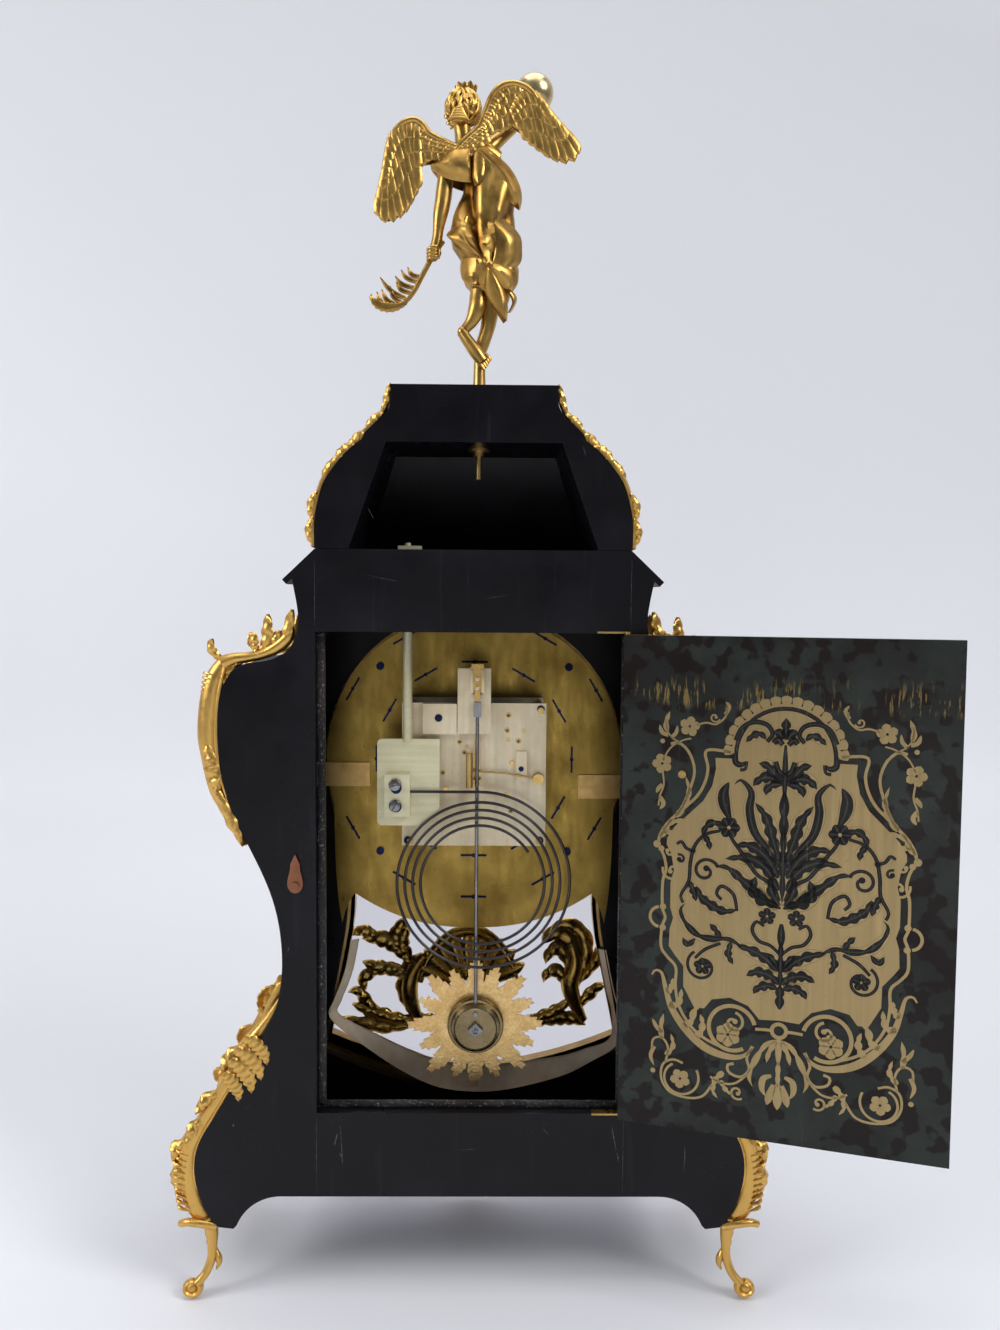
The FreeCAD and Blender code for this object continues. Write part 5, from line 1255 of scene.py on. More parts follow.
def make_front_ornament():
    """The pierced shell and leaf casting on the front door, seen through its glass from behind."""
    bm = bmesh.new()
    y = -80.5

    def leafy(points, width, lobes=5, thick=2.4, lift=0.0):
        leaf(bm, [(x, y - lift, z) for x, z in points], width, (0, 1, 0), thick, lobes, 0.2, True, 0.55, 20,
             10, 0.35)

    def stem(points, radii):
        tube(bm, [(x, y, z) for x, z in points], radii, 10, None, (0, 1, 0), 0.8)

    stem([(-108, 176), (-98, 196), (-94, 214), (-99, 232), (-96, 250)], [4, 7, 9, 9, 5])
    leafy([(-97, 205), (-100, 232), (-94, 255), (-78, 262), (-66, 252)], 13, 6, 3.4)
    leafy([(-98, 212), (-110, 238), (-106, 262), (-88, 272), (-72, 262)], 8, 5)
    leafy([(-97, 222), (-86, 246), (-74, 242), (-70, 232)], 8, 4, 2.6, 1)
    leafy([(-96, 204), (-84, 224), (-72, 222), (-68, 214)], 7.5, 4)
    leafy([(-100, 188), (-112, 200), (-120, 208), (-130, 212)], 6.5, 3)
    leafy([(-104, 214), (-118, 232), (-122, 246), (-124, 256)], 5.5, 3)
    leafy([(-60, 172), (-74, 176), (-92, 178), (-110, 172)], 8, 5)
    leafy([(-40, 168), (-62, 176), (-80, 184), (-96, 198)], 8, 5)
    # the shell in the middle
    for number in range(9):
        angle = math.radians(-64 + 16 * number)
        aim = Vector((math.sin(angle), 0, math.cos(angle)))
        base = Vector((4, y, 206))
        leaf(bm, [base + aim * 10, base + aim * 34, base + aim * 60], 7.6, (0, 1, 0), 3.2, 0, 0.0, True, 0.7)
    stem([(-42, 214), (-34, 238), (-10, 262), (18, 262), (42, 240), (52, 214)], [3, 5, 6, 6, 5, 3])
    stem([(54, 178), (62, 200), (60, 222), (48, 240)], [5, 8, 8, 5])
    leafy([(58, 180), (66, 206), (60, 230), (44, 240)], 11, 6, 3.4)
    leafy([(60, 226), (66, 240), (70, 252), (64, 270)], 8, 4)
    leafy([(66, 236), (78, 250), (90, 256), (108, 257)], 9, 4, 2.8)
    leafy([(70, 242), (76, 258), (72, 268), (66, 278)], 7, 3)
    leafy([(92, 256), (100, 262), (110, 264), (118, 260)], 6.5, 3)
    leafy([(62, 222), (80, 226), (94, 228), (108, 234)], 8, 4, 2.8)
    leafy([(88, 228), (100, 222), (108, 216), (104, 206)], 6.5, 3)
    leafy([(64, 212), (72, 222), (80, 228), (88, 222)], 6.5, 3)
    leafy([(54, 176), (76, 176), (96, 182), (118, 192)], 9, 5, 2.8)
    leafy([(92, 182), (104, 194), (112, 204), (122, 204)], 6.5, 3)
    leafy([(60, 170), (84, 168), (108, 172), (130, 178)], 7.5, 4)
    leafy([(10, 168), (30, 172), (48, 176), (62, 184)], 8, 4)
    finish("door_casting", bm, material("ornament"), "front_door", ["front_door_ornament"])


# ---- the figure ----

BACK = 33.0
GATHER = 850


def cloth(bm, left, right, y_left, y_right, thick, bulge, folds=0.0, depth=0.0, count=24, across=16,
          seed=0.0):
    """A length of cloth between two edges, bulging and folding between them, closed round its rims."""
    a_line = even_line([Vector((x, y, z)) for (x, z), y in zip(left, y_left)], count)
    b_line = even_line([Vector((x, y, z)) for (x, z), y in zip(right, y_right)], count)

    def shape(a, b):
        index = round(b * count)
        turn = 2 * math.pi * a
        edge, rise = math.cos(turn), math.sin(turn)
        share = (1 - edge) / 2
        spot_at = a_line[index].lerp(b_line[index], share)
        swell = 1 - edge * edge
        wave = depth * math.cos(math.pi * folds * share * 2 + seed + 1.4 * b) * math.sqrt(max(0.0, swell))
        spot_at.y += thick * rise * (0.25 + 0.75 * math.sqrt(max(0.0, swell))) + bulge * swell + wave
        if index in (0, count):
            spot_at = a_line[index].lerp(b_line[index], share)
            spot_at.y += bulge * swell + wave
        # painted shade in the crest: fold troughs get low values and ridges high, so the gilt paints the
        # troughs darker
        return spot_at, 0.72 + 0.2 * wave / max(depth, 0.01)

    patch(bm, across, count, shape)


ROBE = ((953, 1, 16, 8), (946, -2, 20, 11), (936, -9, 21.5, 12.5), (922, -10.8, 23.2, 14),
        (905.7, -7.6, 24.4, 16), (890, -6, 27, 18), (876.6, -8, 28, 20), (867, -11, 24.5, 19),
        (857, -11.6, 24, 18.5), (846, -12, 21, 16), (838, -14, 15, 11), (830, -17, 9, 7))


def make_robe(bm):
    """The loose robe: one body whose folds all run to the gather below the back."""
    line = [Vector((x, wide, z)) for z, x, wide, deep in ROBE]
    depths = [Vector((deep, 0, 0)) for z, x, wide, deep in ROBE]
    count = 44
    steps = [along(line, index / count) for index in range(count + 1)]
    spans = [along(depths, index / count).x for index in range(count + 1)]

    def shape(a, b):
        index = round(b * count)
        centre = steps[index]
        turn = 2 * math.pi * a
        x = centre.x + centre.y * math.cos(turn)
        y = BACK + spans[index] * math.sin(turn)
        off = abs(centre.z - GATHER)
        toward = math.atan2(x + 11, off)
        away = min(1.0, off / 26)
        facing = 0.35 + 0.65 * max(0.0, math.sin(turn))
        deep = 3.4 * math.cos(9.5 * toward + 0.6) + 1.9 * math.cos(21 * toward + 2.0 + 0.05 * centre.z)
        deep *= away
        deep += 2.2 * noise.noise(Vector((x * 0.07, y * 0.05, centre.z * 0.06)))
        deep *= facing * (0.4 if index < 4 else 1.0)
        scale = 1 + deep / max(6.0, spans[index])
        spot_at = Vector((centre.x + centre.y * math.cos(turn) * (0.5 + 0.5 * scale),
                          BACK + spans[index] * math.sin(turn) * scale, centre.z + 0.6 * deep))
        if index in (0, count):
            spot_at = Vector((centre.x, BACK, centre.z))
        # painted shade in the crest: fold troughs get low values and ridges high, so the gilt paints the
        # troughs darker
        return spot_at, 0.62 + 0.1 * deep

    patch(bm, 48, count, shape)


def make_head(bm):
    """A head with waved hair, side curls and a small crown; the face is a plain calm one."""
    middle = Vector((13.0, BACK - 2, 991.5))
    ball(bm, middle + Vector((0, -3.0, -2.0)), 11.6, (0.86, 1.0, 1.14), 24)
    tube(bm, [(9, BACK - 1, 952), (11, BACK - 1, 966), (12.6, BACK - 2, 982)], [9.5, 7.0, 7.4], 18, 12)
    # forehead, nose, lips, chin and closed lids on the far side
    front = middle + Vector((0, -13.6, 0))
    tube(bm, [front + Vector((0, 0.8, 2.8)), front + Vector((0, -0.8, -0.6)),
              front + Vector((0, -2.2, -4.2))],
         [1.1, 1.3, 1.9], 10, 8)
    for height, wide in ((-7.6, 2.9), (-9.0, 2.6)):
        tube(bm, [front + Vector((-wide, 1.8, height)), front + Vector((0, 0.4, height)),
                  front + Vector((wide, 1.8, height))], [0.5, 1.1, 0.5], 8, 8)
    ball(bm, front + Vector((0, 2.6, -12.2)), 3.6, (1, 0.8, 0.8), 12)
    for side in (1, -1):
        ball(bm, front + Vector((side * 4.4, 2.4, 0.6)), 2.0, (1.1, 0.6, 0.8), 10)
        tube(bm, [front + Vector((side * 1.6, 1.4, 3.8)), front + Vector((side * 4.2, 1.4, 4.8)),
                  front + Vector((side * 7.0, 3.0, 3.6))], [0.5, 0.8, 0.4], 8, 8)
    # the cap of hair, its combed locks, the rolled knot at the nape and the side curls
    ball(bm, middle + Vector((-1.6, 1.2, -2.6)), 12.8, (1.0, 1.0, 1.16), 28)
    maker = random.Random(5)
    for number in range(34):
        round_head = math.radians(-128 + 256 * number / 33)
        points = []
        for step in range(10):
            fall = step / 9
            tilt = math.radians(82 - 142 * fall)
            angle = round_head * (0.75 * math.cos(tilt) ** 0.6 + 0.2)
            angle += 0.13 * math.sin(11 * fall + 1.9 * number)
            radius = 13.2 + 0.8 * math.sin(9 * fall + 2.3 * number)
            points.append(middle + Vector((radius * math.cos(tilt) * math.sin(angle) - 1.6,
                                           1.2 + radius * math.cos(tilt) * math.cos(angle),
                                           radius * 1.14 * math.sin(tilt) - 2.6)))
        tube(bm, points, [0.6, 1.2, 1.5, 1.7, 1.6, 1.2, 0.6], 8, 26)
    knot = middle + Vector((1.5, 10.5, -14.0))
    ball(bm, knot, 6.0, (1.3, 0.8, 0.8), 18)
    for number in range(5):
        turned = []
        for step in range(12):
            angle = math.radians(200 - 220 * step / 11)
            turned.append(knot + Vector((8.4 * math.cos(angle) * (0.5 + 0.12 * number),
                                         2.0 + 3.4 * math.sin(math.pi * step / 11),
                                         (6.2 - 1.2 * number) * math.sin(angle) - 0.8 * number)))
        tube(bm, turned, [0.7, 1.4, 1.5, 1.4, 0.7], 8, 22)
    for number in range(12):
        angle = math.radians(-120 + 240 * number / 11)
        base = middle + Vector((12.0 * math.sin(angle) - 1.2, 1.0 + 10.6 * math.cos(angle),
                                -11 + maker.uniform(-2.5, 3.5)))
        turnings = [base + Vector((2.2 * math.cos(step * 0.9 + number), 1.6 * math.sin(step * 0.9 + number),
                                   2.8 - step * 0.8)) for step in range(8)]
        tube(bm, turnings, [0.7, 1.5, 1.5, 0.6], 8, 18)
    for side in (1, -1):
        for number in range(3):
            coil = [middle + Vector((side * (11.6 + 2.2 * math.cos(step * 0.8)) - 1.6, -1 + 2.5 * number,
                                     4 - 4 * number + 2.2 * math.sin(step * 0.8))) for step in range(9)]
            tube(bm, coil, [0.8, 1.7, 1.5, 0.8], 8, 20)
    # the crown: a band of upright leaves round the top of the head
    ring = middle + Vector((-4.0, -1.0, 9.6))
    for number in range(11):
        angle = 2 * math.pi * number / 11 + 0.3
        out = Vector((math.cos(angle), math.sin(angle), 0))
        base = ring + out * 6.8
        tip = base + out * 2.2 + Vector((0, 0, 6.8 + 1.2 * (number % 2)))
        leaf(bm, [base, base.lerp(tip, 0.5), tip], 2.6, tuple(out), 1.0, 0, 0, True, 0.6, 8, 8)
    tube(bm, [ring + Vector((7.4 * math.cos(math.radians(turn)), 7.4 * math.sin(math.radians(turn)), 0.4))
              for turn in range(0, 361, 30)], [1.3, 1.3], 8, 30)


def make_limbs(bm):
    """The lowered arm with its hand, the raised arm, both legs and feet."""
    tube(bm, [(20, BACK + 1, 948), (25, BACK + 1, 934), (27.4, BACK + 1, 915), (30.4, BACK + 2, 898),
              (32, BACK + 2, 884), (34, BACK + 2, 874)], [7.6, 6.6, 6.8, 6.2, 4.4, 4.8], 18, 34)
    grip = Vector((35, BACK + 2.5, 870.5))
    ball(bm, grip, 5.2, (0.95, 0.8, 1.15), 16)
    for number in range(4):
        z = grip.z + 4.2 - number * 2.7
        tube(bm, [(grip.x - 4.2, grip.y - 1, z + 1.6), (grip.x - 2.4, grip.y + 4.2, z + 1.0),
                  (grip.x + 2.6, grip.y + 4.6, z - 0.4), (grip.x + 5.2, grip.y + 1.2, z - 1.2)],
             [1.3, 1.6, 1.6, 1.1], 10, 14)
    tube(bm, [(grip.x - 3.8, grip.y + 1.5, grip.z + 4), (grip.x - 5.0, grip.y + 3.4, grip.z - 0.5),
              (grip.x - 2.6, grip.y + 4.8, grip.z - 4.4)], [1.5, 1.6, 1.1], 10, 12)
    tube(bm, [(-2, BACK, 948), (-14, BACK - 3, 962), (-27, BACK - 8, 975), (-36, BACK - 11, 985),
              (-41, BACK - 12.5, 994)], [7.6, 6.6, 5.2, 4.4, 4.2], 16, 26)
    ball(bm, (-42.5, BACK - 12.5, 995.5), 4.8, (1, 0.8, 1.1), 14)
    tube(bm, [(-4, BACK + 2, 846), (-2.5, BACK + 4, 836), (-1, BACK + 6, 826), (3, BACK + 6.5, 816),
              (8.5, BACK + 7, 809)], [8.6, 7.6, 7.2, 5.6, 4.2], 18, 28)
    ball(bm, (10.6, BACK + 7, 806.8), 4.5, (1, 0.9, 1), 14)
    tube(bm, [(11, BACK + 7, 806.5), (6, BACK + 8, 799), (-0.5, BACK + 8.5, 790), (-6.5, BACK + 9, 782)],
         [4.6, 5.0, 5.6, 4.8], 16, 24)
    for number in range(5):
        reach = 4.8 - 0.35 * number
        start = Vector((-4.0 - 1.5 * number, BACK + 9.8 - 0.4 * number, 780 + 1.7 * number))
        tube(bm, [start + Vector((1.5, 0, 1.5)), start + Vector((-1.2, 0.6, -1.2)),
                  start + Vector((-reach * 0.75, 0.2, -reach * 0.95))], [1.8, 1.7, 1.5], 8, 8)
    tube(bm, [(-12, BACK, 838), (-12, BACK, 826), (-10, BACK, 812), (-7, BACK, 802), (-4.5, BACK, 794),
              (-3.4, BACK, 788)], [8.4, 7.4, 6.6, 5.8, 5.6, 4.8], 16, 28)


def make_figure():
    """The winged woman in bronze: robe, sash, sleeve, limbs and head."""
    bm = bmesh.new()
    make_robe(bm)
    make_head(bm)
    make_limbs(bm)
    high, far = BACK + 10, BACK + 13
    # shoulders and the flared sleeve
    tube(bm, [(18, BACK, 948), (8, BACK + 1, 953), (-6, BACK + 1, 953), (-16, BACK - 2, 948)],
         [8.5, 9, 9, 8.5], 18, 18)
    cloth(bm, [(6, 955), (18, 953), (30, 946), (38.5, 941)], [(4, 926), (14, 926), (26, 930), (37, 938)],
          [high, high + 1, high - 2, high - 6], [high, high + 2, high - 1, high - 6], 2.0, 4.5, 1.5, 0.9)
    cloth(bm, [(12, 951), (24, 946), (37.8, 941)], [(6, 924), (18, 927), (31, 933)],
          [BACK - 8, BACK - 8, BACK - 2], [BACK - 7, BACK - 6, BACK - 2], 1.8, -3.5, 1.5, 0.8)
    # the sash over the far shoulder, twisted and pointed
    cloth(bm, [(-5, 957), (-18, 947), (-29, 937), (-36, 924), (-37.5, 914), (-36, 906)],
          [(2, 948), (-7, 938), (-14, 929), (-22, 918), (-29, 909), (-35, 905.5)],
          [high - 1, high, high - 2, high - 3, high - 4, high - 5],
          [high + 1, far, far, far - 2, high, high - 4], 2.2, 2.6, 1.5, 1.1, 30, 20, 0.6)
    cloth(bm, [(3, 950), (4, 938), (3, 928), (1, 922)], [(-8, 952), (-10, 938), (-7, 926), (-2, 921)],
          [high, far - 1, far, far - 1], [high, far - 1, far, far - 1], 2.4, 2.8, 1.0, 0.6)
    # overfold rim at the hip and the gathered lower folds
    cloth(bm, [(14, 894), (23.5, 887), (22, 880), (10, 871), (-2, 864)],
          [(6, 900), (8, 884), (4, 874), (-4, 866), (-8, 858)],
          [BACK + 4, BACK + 6, high + 3, far + 3, far + 4], [far, far + 4, far + 5, far + 5, far + 4], 2.0,
          2.2, 1.0, 0.7)
    cloth(bm, [(-16, 902), (-28, 893), (-36.5, 884), (-38, 874), (-37, 864), (-30, 856)],
          [(-12, 880), (-14, 874), (-15, 868), (-14, 862), (-13, 858), (-12, 853)],
          [high + 2, high, BACK + 8, BACK + 6, BACK + 5, BACK + 8],
          [far + 4, far + 5, far + 6, far + 6, far + 5, far + 4], 2.6, 3.4, 1.5, 1.0, 28, 20, 2.0)
    cloth(bm, [(-14, 862), (-24, 862), (-34, 858), (-35, 848), (-31, 840)],
          [(-12, 852), (-16, 848), (-20, 844), (-23, 841), (-27, 838)],
          [far + 3, high + 3, BACK + 7, BACK + 5, BACK + 7], [far + 5, far + 4, far + 2, high + 2, high],
          2.2, 2.6, 1.5, 0.9)
    cloth(bm, [(12, 868), (13, 858), (11, 849), (4, 842)], [(-6, 862), (-6, 856), (-5, 850), (-3, 843)],
          [BACK + 5, BACK + 5, BACK + 6, BACK + 9], [far + 3, far + 4, far + 2, high + 2], 2.4, 2.8, 1.5, 0.9)
    cloth(bm, [(-9, 856), (-7, 846), (-8, 836), (-15, 825), (-23, 813.5)],
          [(-14, 855), (-20, 845), (-24, 838), (-26.5, 827), (-26, 815)],
          [far + 4, high + 4, high + 2, high, high - 2], [far + 4, high + 5, high + 3, high + 1, high - 2],
          2.2, 3.2, 1.0, 0.8)
    cloth(bm, [(-24, 842), (-28, 836), (-30, 830), (-26, 822)],
          [(-30, 842), (-34, 836), (-33, 830), (-29, 823)], [high, high - 1, high - 2, high - 3],
          [BACK + 4, BACK + 4, BACK + 4, BACK + 5], 1.8, 1.4, 1.0, 0.5)
    finish("figure_casting", bm, material("figure"), "dome", ["figure"])


def feather_group(bm, starts, ends, rows, count, y, width, bow):
    """Overlapping rows of feathers from a line of roots to a line of tips; rows give start and end shares."""
    root_line = even_line([Vector((x, y, z)) for x, z in starts], 40)
    tip_line = even_line([Vector((x, y, z)) for x, z in ends], 40)
    for level, (near, far, extra) in enumerate(rows):
        for number in range(count + extra):
            share = number / (count + extra - 1)
            root, tip = along(root_line, share), along(tip_line, share)
            start, end = root.lerp(tip, near), root.lerp(tip, far)
            out = Vector((0, 0.9 * level + 0.25 * (number % 2), 0))
            side = (end - start).cross(Vector((0, 1, 0))).normalized()
            middle = start.lerp(end, 0.5) + side * bow * (far - near)
            leaf(bm, [start + out, middle + out + Vector((0, 0.8, 0)), end + out],
                 width * (1.3 - 0.1 * level), (0, 1, 0), 1.3, 0, 0.05, True, 0.82, 14, 10, 0.8)


def make_wings():
    """Two bronze wings with rows of chased feathers."""
    bm = bmesh.new()
    y = 41.5
    rows = ((0.26, 1.0, 0), (0.16, 0.66, 2), (0.03, 0.42, 4), (-0.04, 0.2, 8))
    feather_group(bm, [(73, 934), (71, 952), (67, 964), (58, 971), (48, 968)],
                  [(79, 898), (75, 893.5), (66, 894.5), (56, 903), (48, 920)], rows, 8, y, 4.0, 2)
    feather_group(bm, [(45, 967), (36, 961), (24, 957), (13, 953)],
                  [(44, 939), (36, 943), (24, 943.5), (10, 946)], rows, 7, y, 3.8, 0)
    tube(bm, [(8, y + 1, 949), (24, y + 2, 957), (38, y + 3, 963.5), (43, y + 3, 970), (50, y + 3, 974.5),
              (59, y + 3, 972.5), (66, y + 2, 966), (70, y + 2, 957), (72, y + 1, 943), (76, y, 917),
              (79.5, y, 900)], [3.6, 2.8, 2.6, 2.6, 2.5, 2.4, 2.2, 2.0, 1.6, 1.0, 0.8], 12, 60)
    feather_group(bm, [(-55, 983), (-51, 991), (-44, 997), (-35, 994), (-29, 984)],
                  [(-84, 950), (-80, 943.5), (-71, 942), (-59, 947), (-43, 960)], rows, 8, y, 4.0, -2)
    feather_group(bm, [(-33, 1002), (-24, 1001), (-16, 994), (-9, 981), (-2, 970)],
                  [(-33, 969), (-29, 971), (-22, 967), (-12, 965), (-3, 956)], rows, 8, y, 3.8, 0)
    feather_group(bm, [(-4, 968), (6, 960), (14, 952), (18, 946)],
                  [(-8, 956), (-1, 950), (6, 946), (12, 942)], rows, 5, y + 1, 3.8, 0)
    tube(bm, [(19, y + 1, 943), (13, y + 2, 955), (-2, y + 2, 969.5), (-7, y + 2, 981), (-12, y + 3, 993),
              (-18.5, y + 3, 1001), (-27, y + 3, 1004), (-37, y + 3, 1002.5), (-45, y + 3, 997),
              (-54, y + 2, 985), (-65, y + 1, 971), (-77, y, 958.5), (-84, y, 951)],
         [3.2, 3.6, 3.4, 3.0, 2.8, 2.8, 2.7, 2.6, 2.4, 2.2, 1.8, 1.2, 0.8], 12, 70)
    for outline in ([(8, 950), (38, 961), (50, 972), (64, 966), (70, 950), (73, 925), (79, 900), (72, 895),
                     (60, 900), (50, 915), (44, 940), (18, 944)],
                    [(12, 953), (-3, 970), (-9, 984), (-18, 1001), (-29, 1003), (-43, 998), (-58, 980),
                     (-76, 960), (-82, 949), (-72, 944), (-58, 949), (-39, 964), (-28, 972), (-12, 966),
                     (0, 955), (14, 945)]):
        plate(bm, outline, y - 2, y - 0.2)
    finish("wing_feathers", bm, material("wing"), "dome", ["figure_wings"])


def make_palm():
    """The palm branch: one stem with long leaflets on its upper side."""
    bm = bmesh.new()
    y = BACK + 2.5
    stem = [(27, 881), (35, 870), (43.5, 855), (52, 839), (61, 830), (74, 825), (85, 834)]
    tube(bm, [(x, y, z) for x, z in stem], [1.8, 2.2, 2.2, 2.0, 1.8, 1.6, 0.8], 10, 40)
    for root, tip in (((45, 852), (56.5, 860)), ((47.5, 848), (62, 858)), ((50, 843), (67, 853)),
                      ((53, 839), (66, 848)), ((57, 834), (79.5, 852)), ((61, 831), (71, 845)),
                      ((65, 829), (78, 842)), ((70, 827), (82, 840)), ((76, 827), (87, 838))):
        middle = ((root[0] + tip[0]) / 2 + 2.2, (root[1] + tip[1]) / 2 - 2.2)
        leaf(bm, [(root[0], y, root[1]), (middle[0], y + 1, middle[1]), (tip[0], y, tip[1])], 2.1, (0, 1, 0),
             1.2, 0, 0, True, 0.45, 14, 8, 0.8)
    leaf(bm, [(56, y + 0.5, 832), (68, y + 1.5, 827), (80, y + 1, 829), (88, y, 836)], 4.6, (0, 1, 0), 1.2,
         9, 0, True, 0.6)
    finish("palm_casting", bm, material("figure"), "dome", ["palm_branch"])


# ---- movement, dial and case details ----

def make_globe():
    """The bright sphere in the raised hand."""
    low, high = ends_of("figure_globe")
    middle = Vector([(one + two) / 2 for one, two in zip(low, high)])
    bm = bmesh.new()
    ball(bm, middle, (high[0] - low[0]) / 2, (1, 1, 1), 48)
    finish("globe", bm, material("globe"), "dome", ["figure_globe"])


def make_movement_details():
    """Screw heads, bushings and oil sinks on the rear plate, and the gong block's slotted screws."""
    rear = ends_of("back_plate")[1][1]
    bm = bmesh.new()
    for x, z in ((56.3, 492.3), (-57.9, 491.4), (54.3, 377.4), (-57.1, 377.9)):
        screw(bm, (x, rear + 0.4, z), 2.9, 1.7)
    finish("plate_screw_heads", bm, material("brass"), "case")
    bm = bmesh.new()
    holes = bmesh.new()
    for x, z in ((-30.1, 487), (-29.1, 474), (11.8, 463.9), (7.6, 454.6), (26.2, 436.9), (-38.9, 464.7),
                 (-32.7, 404), (23.2, 422.7), (-28.5, 417.8), (-33.4, 445.7)):
        lathe(bm, x, rear, z, [(1.0, -0.2), (2.4, -0.2), (2.4, 0.25), (1.9, 0.35), (1.2, 0.1), (1.0, 0.0)],
              24)
        lathe(holes, x, rear, z, [(0, -0.1), (1.1, -0.1), (1.0, 0.06), (0, 0.08)], 16)
    finish("bushings", bm, material("brass"), "case")
    finish("bushing_holes", holes, material("wire"), "case")
    bm = bmesh.new()
    slots = bmesh.new()
    face = ends_of("movement_screws")[1][1]
    for z, turn in ((430.0, 15), (412.4, 55)):
        lathe(bm, 65.2, face - 4.2, z, [(0, 0), (5.3, 0), (5.3, 3.0), (4.4, 4.3), (2.4, 4.9), (0, 5.0)], 32)
        # the slots are dark steel bars laid across the heads: painted shade standing in for the cut slots
        matrix = (Matrix.Translation((65.2, face + 0.5, z)) @ Matrix.Rotation(math.radians(turn), 4, "Y")
                  @ Matrix.Diagonal((8.0, 1.2, 0.9, 1)))
        bmesh.ops.create_cube(slots, size=1, matrix=matrix)
    finish("gong_screw_heads", bm, material("steel"), "case")
    finish("gong_screw_slots", slots, material("wire"), "case")
    # the suspension block's cheeks and its two screws
    bm = bmesh.new()
    top = ends_of("back_cock")[1][2]
    for low, high in (((-9.6, 31.4, 507), (-6.6, 37.6, 527)), ((0.2, 31.4, 507), (3.0, 37.6, 527)),
                      ((-9.6, 31.4, 524), (3.0, 36.2, top + 1.5)), ((-8, 31.4, 498), (1.4, 34.2, 506))):
        block(bm, low, high)
    soften(bm, 0.4, 40, 2)
    for z in (519, 511):
        lathe(bm, -3.4, 37.0, z, [(0, 0), (1.8, 0), (1.8, 0.9), (1.2, 1.3), (0, 1.4)], 16)
    finish("suspension_cheeks", bm, material("plate"), "case")


WINDOW_EDGE = [(115, 262.8), (121, 232), (131, 205), (136, 190), (122, 175.4), (96, 156), (69.5, 138.3),
               (36, 122), (2.4, 116.8), (-34, 119), (-83.7, 131.8), (-112, 146), (-137, 163), (-139, 190),
               (-133, 215), (-125, 254)]


def make_window_liner():
    """The worn, pale rim that lines the lower window of the front board."""
    bm = bmesh.new()
    line = even_line([Vector((x, -57, z)) for x, z in WINDOW_EDGE], 110)
    sides = frames(line)
    last = len(line) - 1
    centre = Vector((0, -57, 230))

    def shape(a, b):
        index = round(b * last)
        spot_at, aside = line[index], sides[index][0]
        inward = aside if aside.dot(centre - spot_at) > 0 else -aside
        low = max(0.0, 1 - (spot_at.x / 128) ** 2) if spot_at.z < 190 else 0.0
        wide = 7.0 + 17.0 * low
        return spot_at + inward * (wide * a - 1.0) + Vector((0, 0.8 - 7.6 * a, 0)), 0.5

    patch(bm, 6, last, shape)
    turn_out(bm, (0, 1, 0))
    bmesh.ops.solidify(bm, geom=list(bm.faces), thickness=0.6)
    finish("window_liner", bm, material("liner"), "case", merge=0)


def make_case_wear():
    """Joint lines between rails and stiles, scratches in the polish and the rubbed rim of the doorway."""
    bm = bmesh.new()
    face = CASE_REAR + 0.03
    maker = random.Random(3)

    def mark(points, width):
        line = even_line([Vector((x, 0, z)) for x, z in points], 14)
        sides = frames(line)

        def shape(a, b):
            index = round(b * 14)
            half = width / 2 * math.sin(math.pi * (0.06 + 0.88 * b))
            half *= 0.6 + 0.5 * noise.noise(line[index] * 0.9)
            spot_at = line[index] + sides[index][0] * ((a - 0.5) * 2 * half)
            spot_at.y = face
            return spot_at, 0.5

        patch(bm, 1, 14, shape)

    for x, low, high in ((127.7, 561, 618), (-127.7, 561, 618), (127.7, 90, 158), (-127.7, 90, 158)):
        mark([(x, low), (x + 0.2, (low + high) / 2), (x, high)], 0.5)
    for x, z, dx, dz, width in ((108.3, 150, -2, -34, 1.3), (110.5, 142, 2.5, -10, 1.8),
                                (109, 126, -3, -6, 1.2), (-118, 148, -6, -30, 1.4), (-121, 130, -3, -9, 1.8),
                                (-179, 132, 0.4, -22, 1.1), (-60, 147, -5, -6, 0.7), (12, 128, -16, 1, 0.5),
                                (168, 236, 0.5, -1.5, 1.8), (150, 300, 1, -4, 1.4), (196, 150, 0.6, -2, 2.0),
                                (60, 600, 26, 5, 0.4), (-30, 590, 20, -3, 0.4), (-90, 700, 3, 9, 0.5),
                                (80, 650, 5, 9, 0.5)):
        mark([(x, z), (x + dx * 0.5 + maker.uniform(-0.5, 0.5), z + dz * 0.5), (x + dx, z + dz)], width)
    turn_out(bm, (0, 1, 0))
    finish("polish_scratches", bm, material("scratch"), "case", merge=0, smooth=False,
           recalc=False)
    bm = bmesh.new()
    for low, high in (((121.6, 58, 161), (127.6, 64.7, 558)), ((-127.6, 58, 161), (-122.4, 64.7, 558)),
                      ((-127.6, 58, 159.6), (127.6, 64.7, 163.4))):
        block(bm, low, high)
    soften(bm, 0.5, 40, 2)
    finish("doorway_stops", bm, material("rubbed"), "case")


# ---- the add-on's operators and panel ----

class CLOCK_OT_case(bpy.types.Operator):
    """Dress the boards, doors and brasses of the case"""
    bl_idname = "clock.case"
    bl_label = "Case"

    def execute(self, context):
        dress_case()
        return {"FINISHED"}


class CLOCK_OT_movement(bpy.types.Operator):
    """Dress the movement, dial and gong"""
    bl_idname = "clock.movement"
    bl_label = "Movement"

    def execute(self, context):
        dress_movement()
        return {"FINISHED"}


class CLOCK_OT_marquetry(bpy.types.Operator):
    """Lay the rear door's brass and shell marquetry"""
    bl_idname = "clock.marquetry"
    bl_label = "Marquetry"

    def execute(self, context):
        make_door()
        return {"FINISHED"}


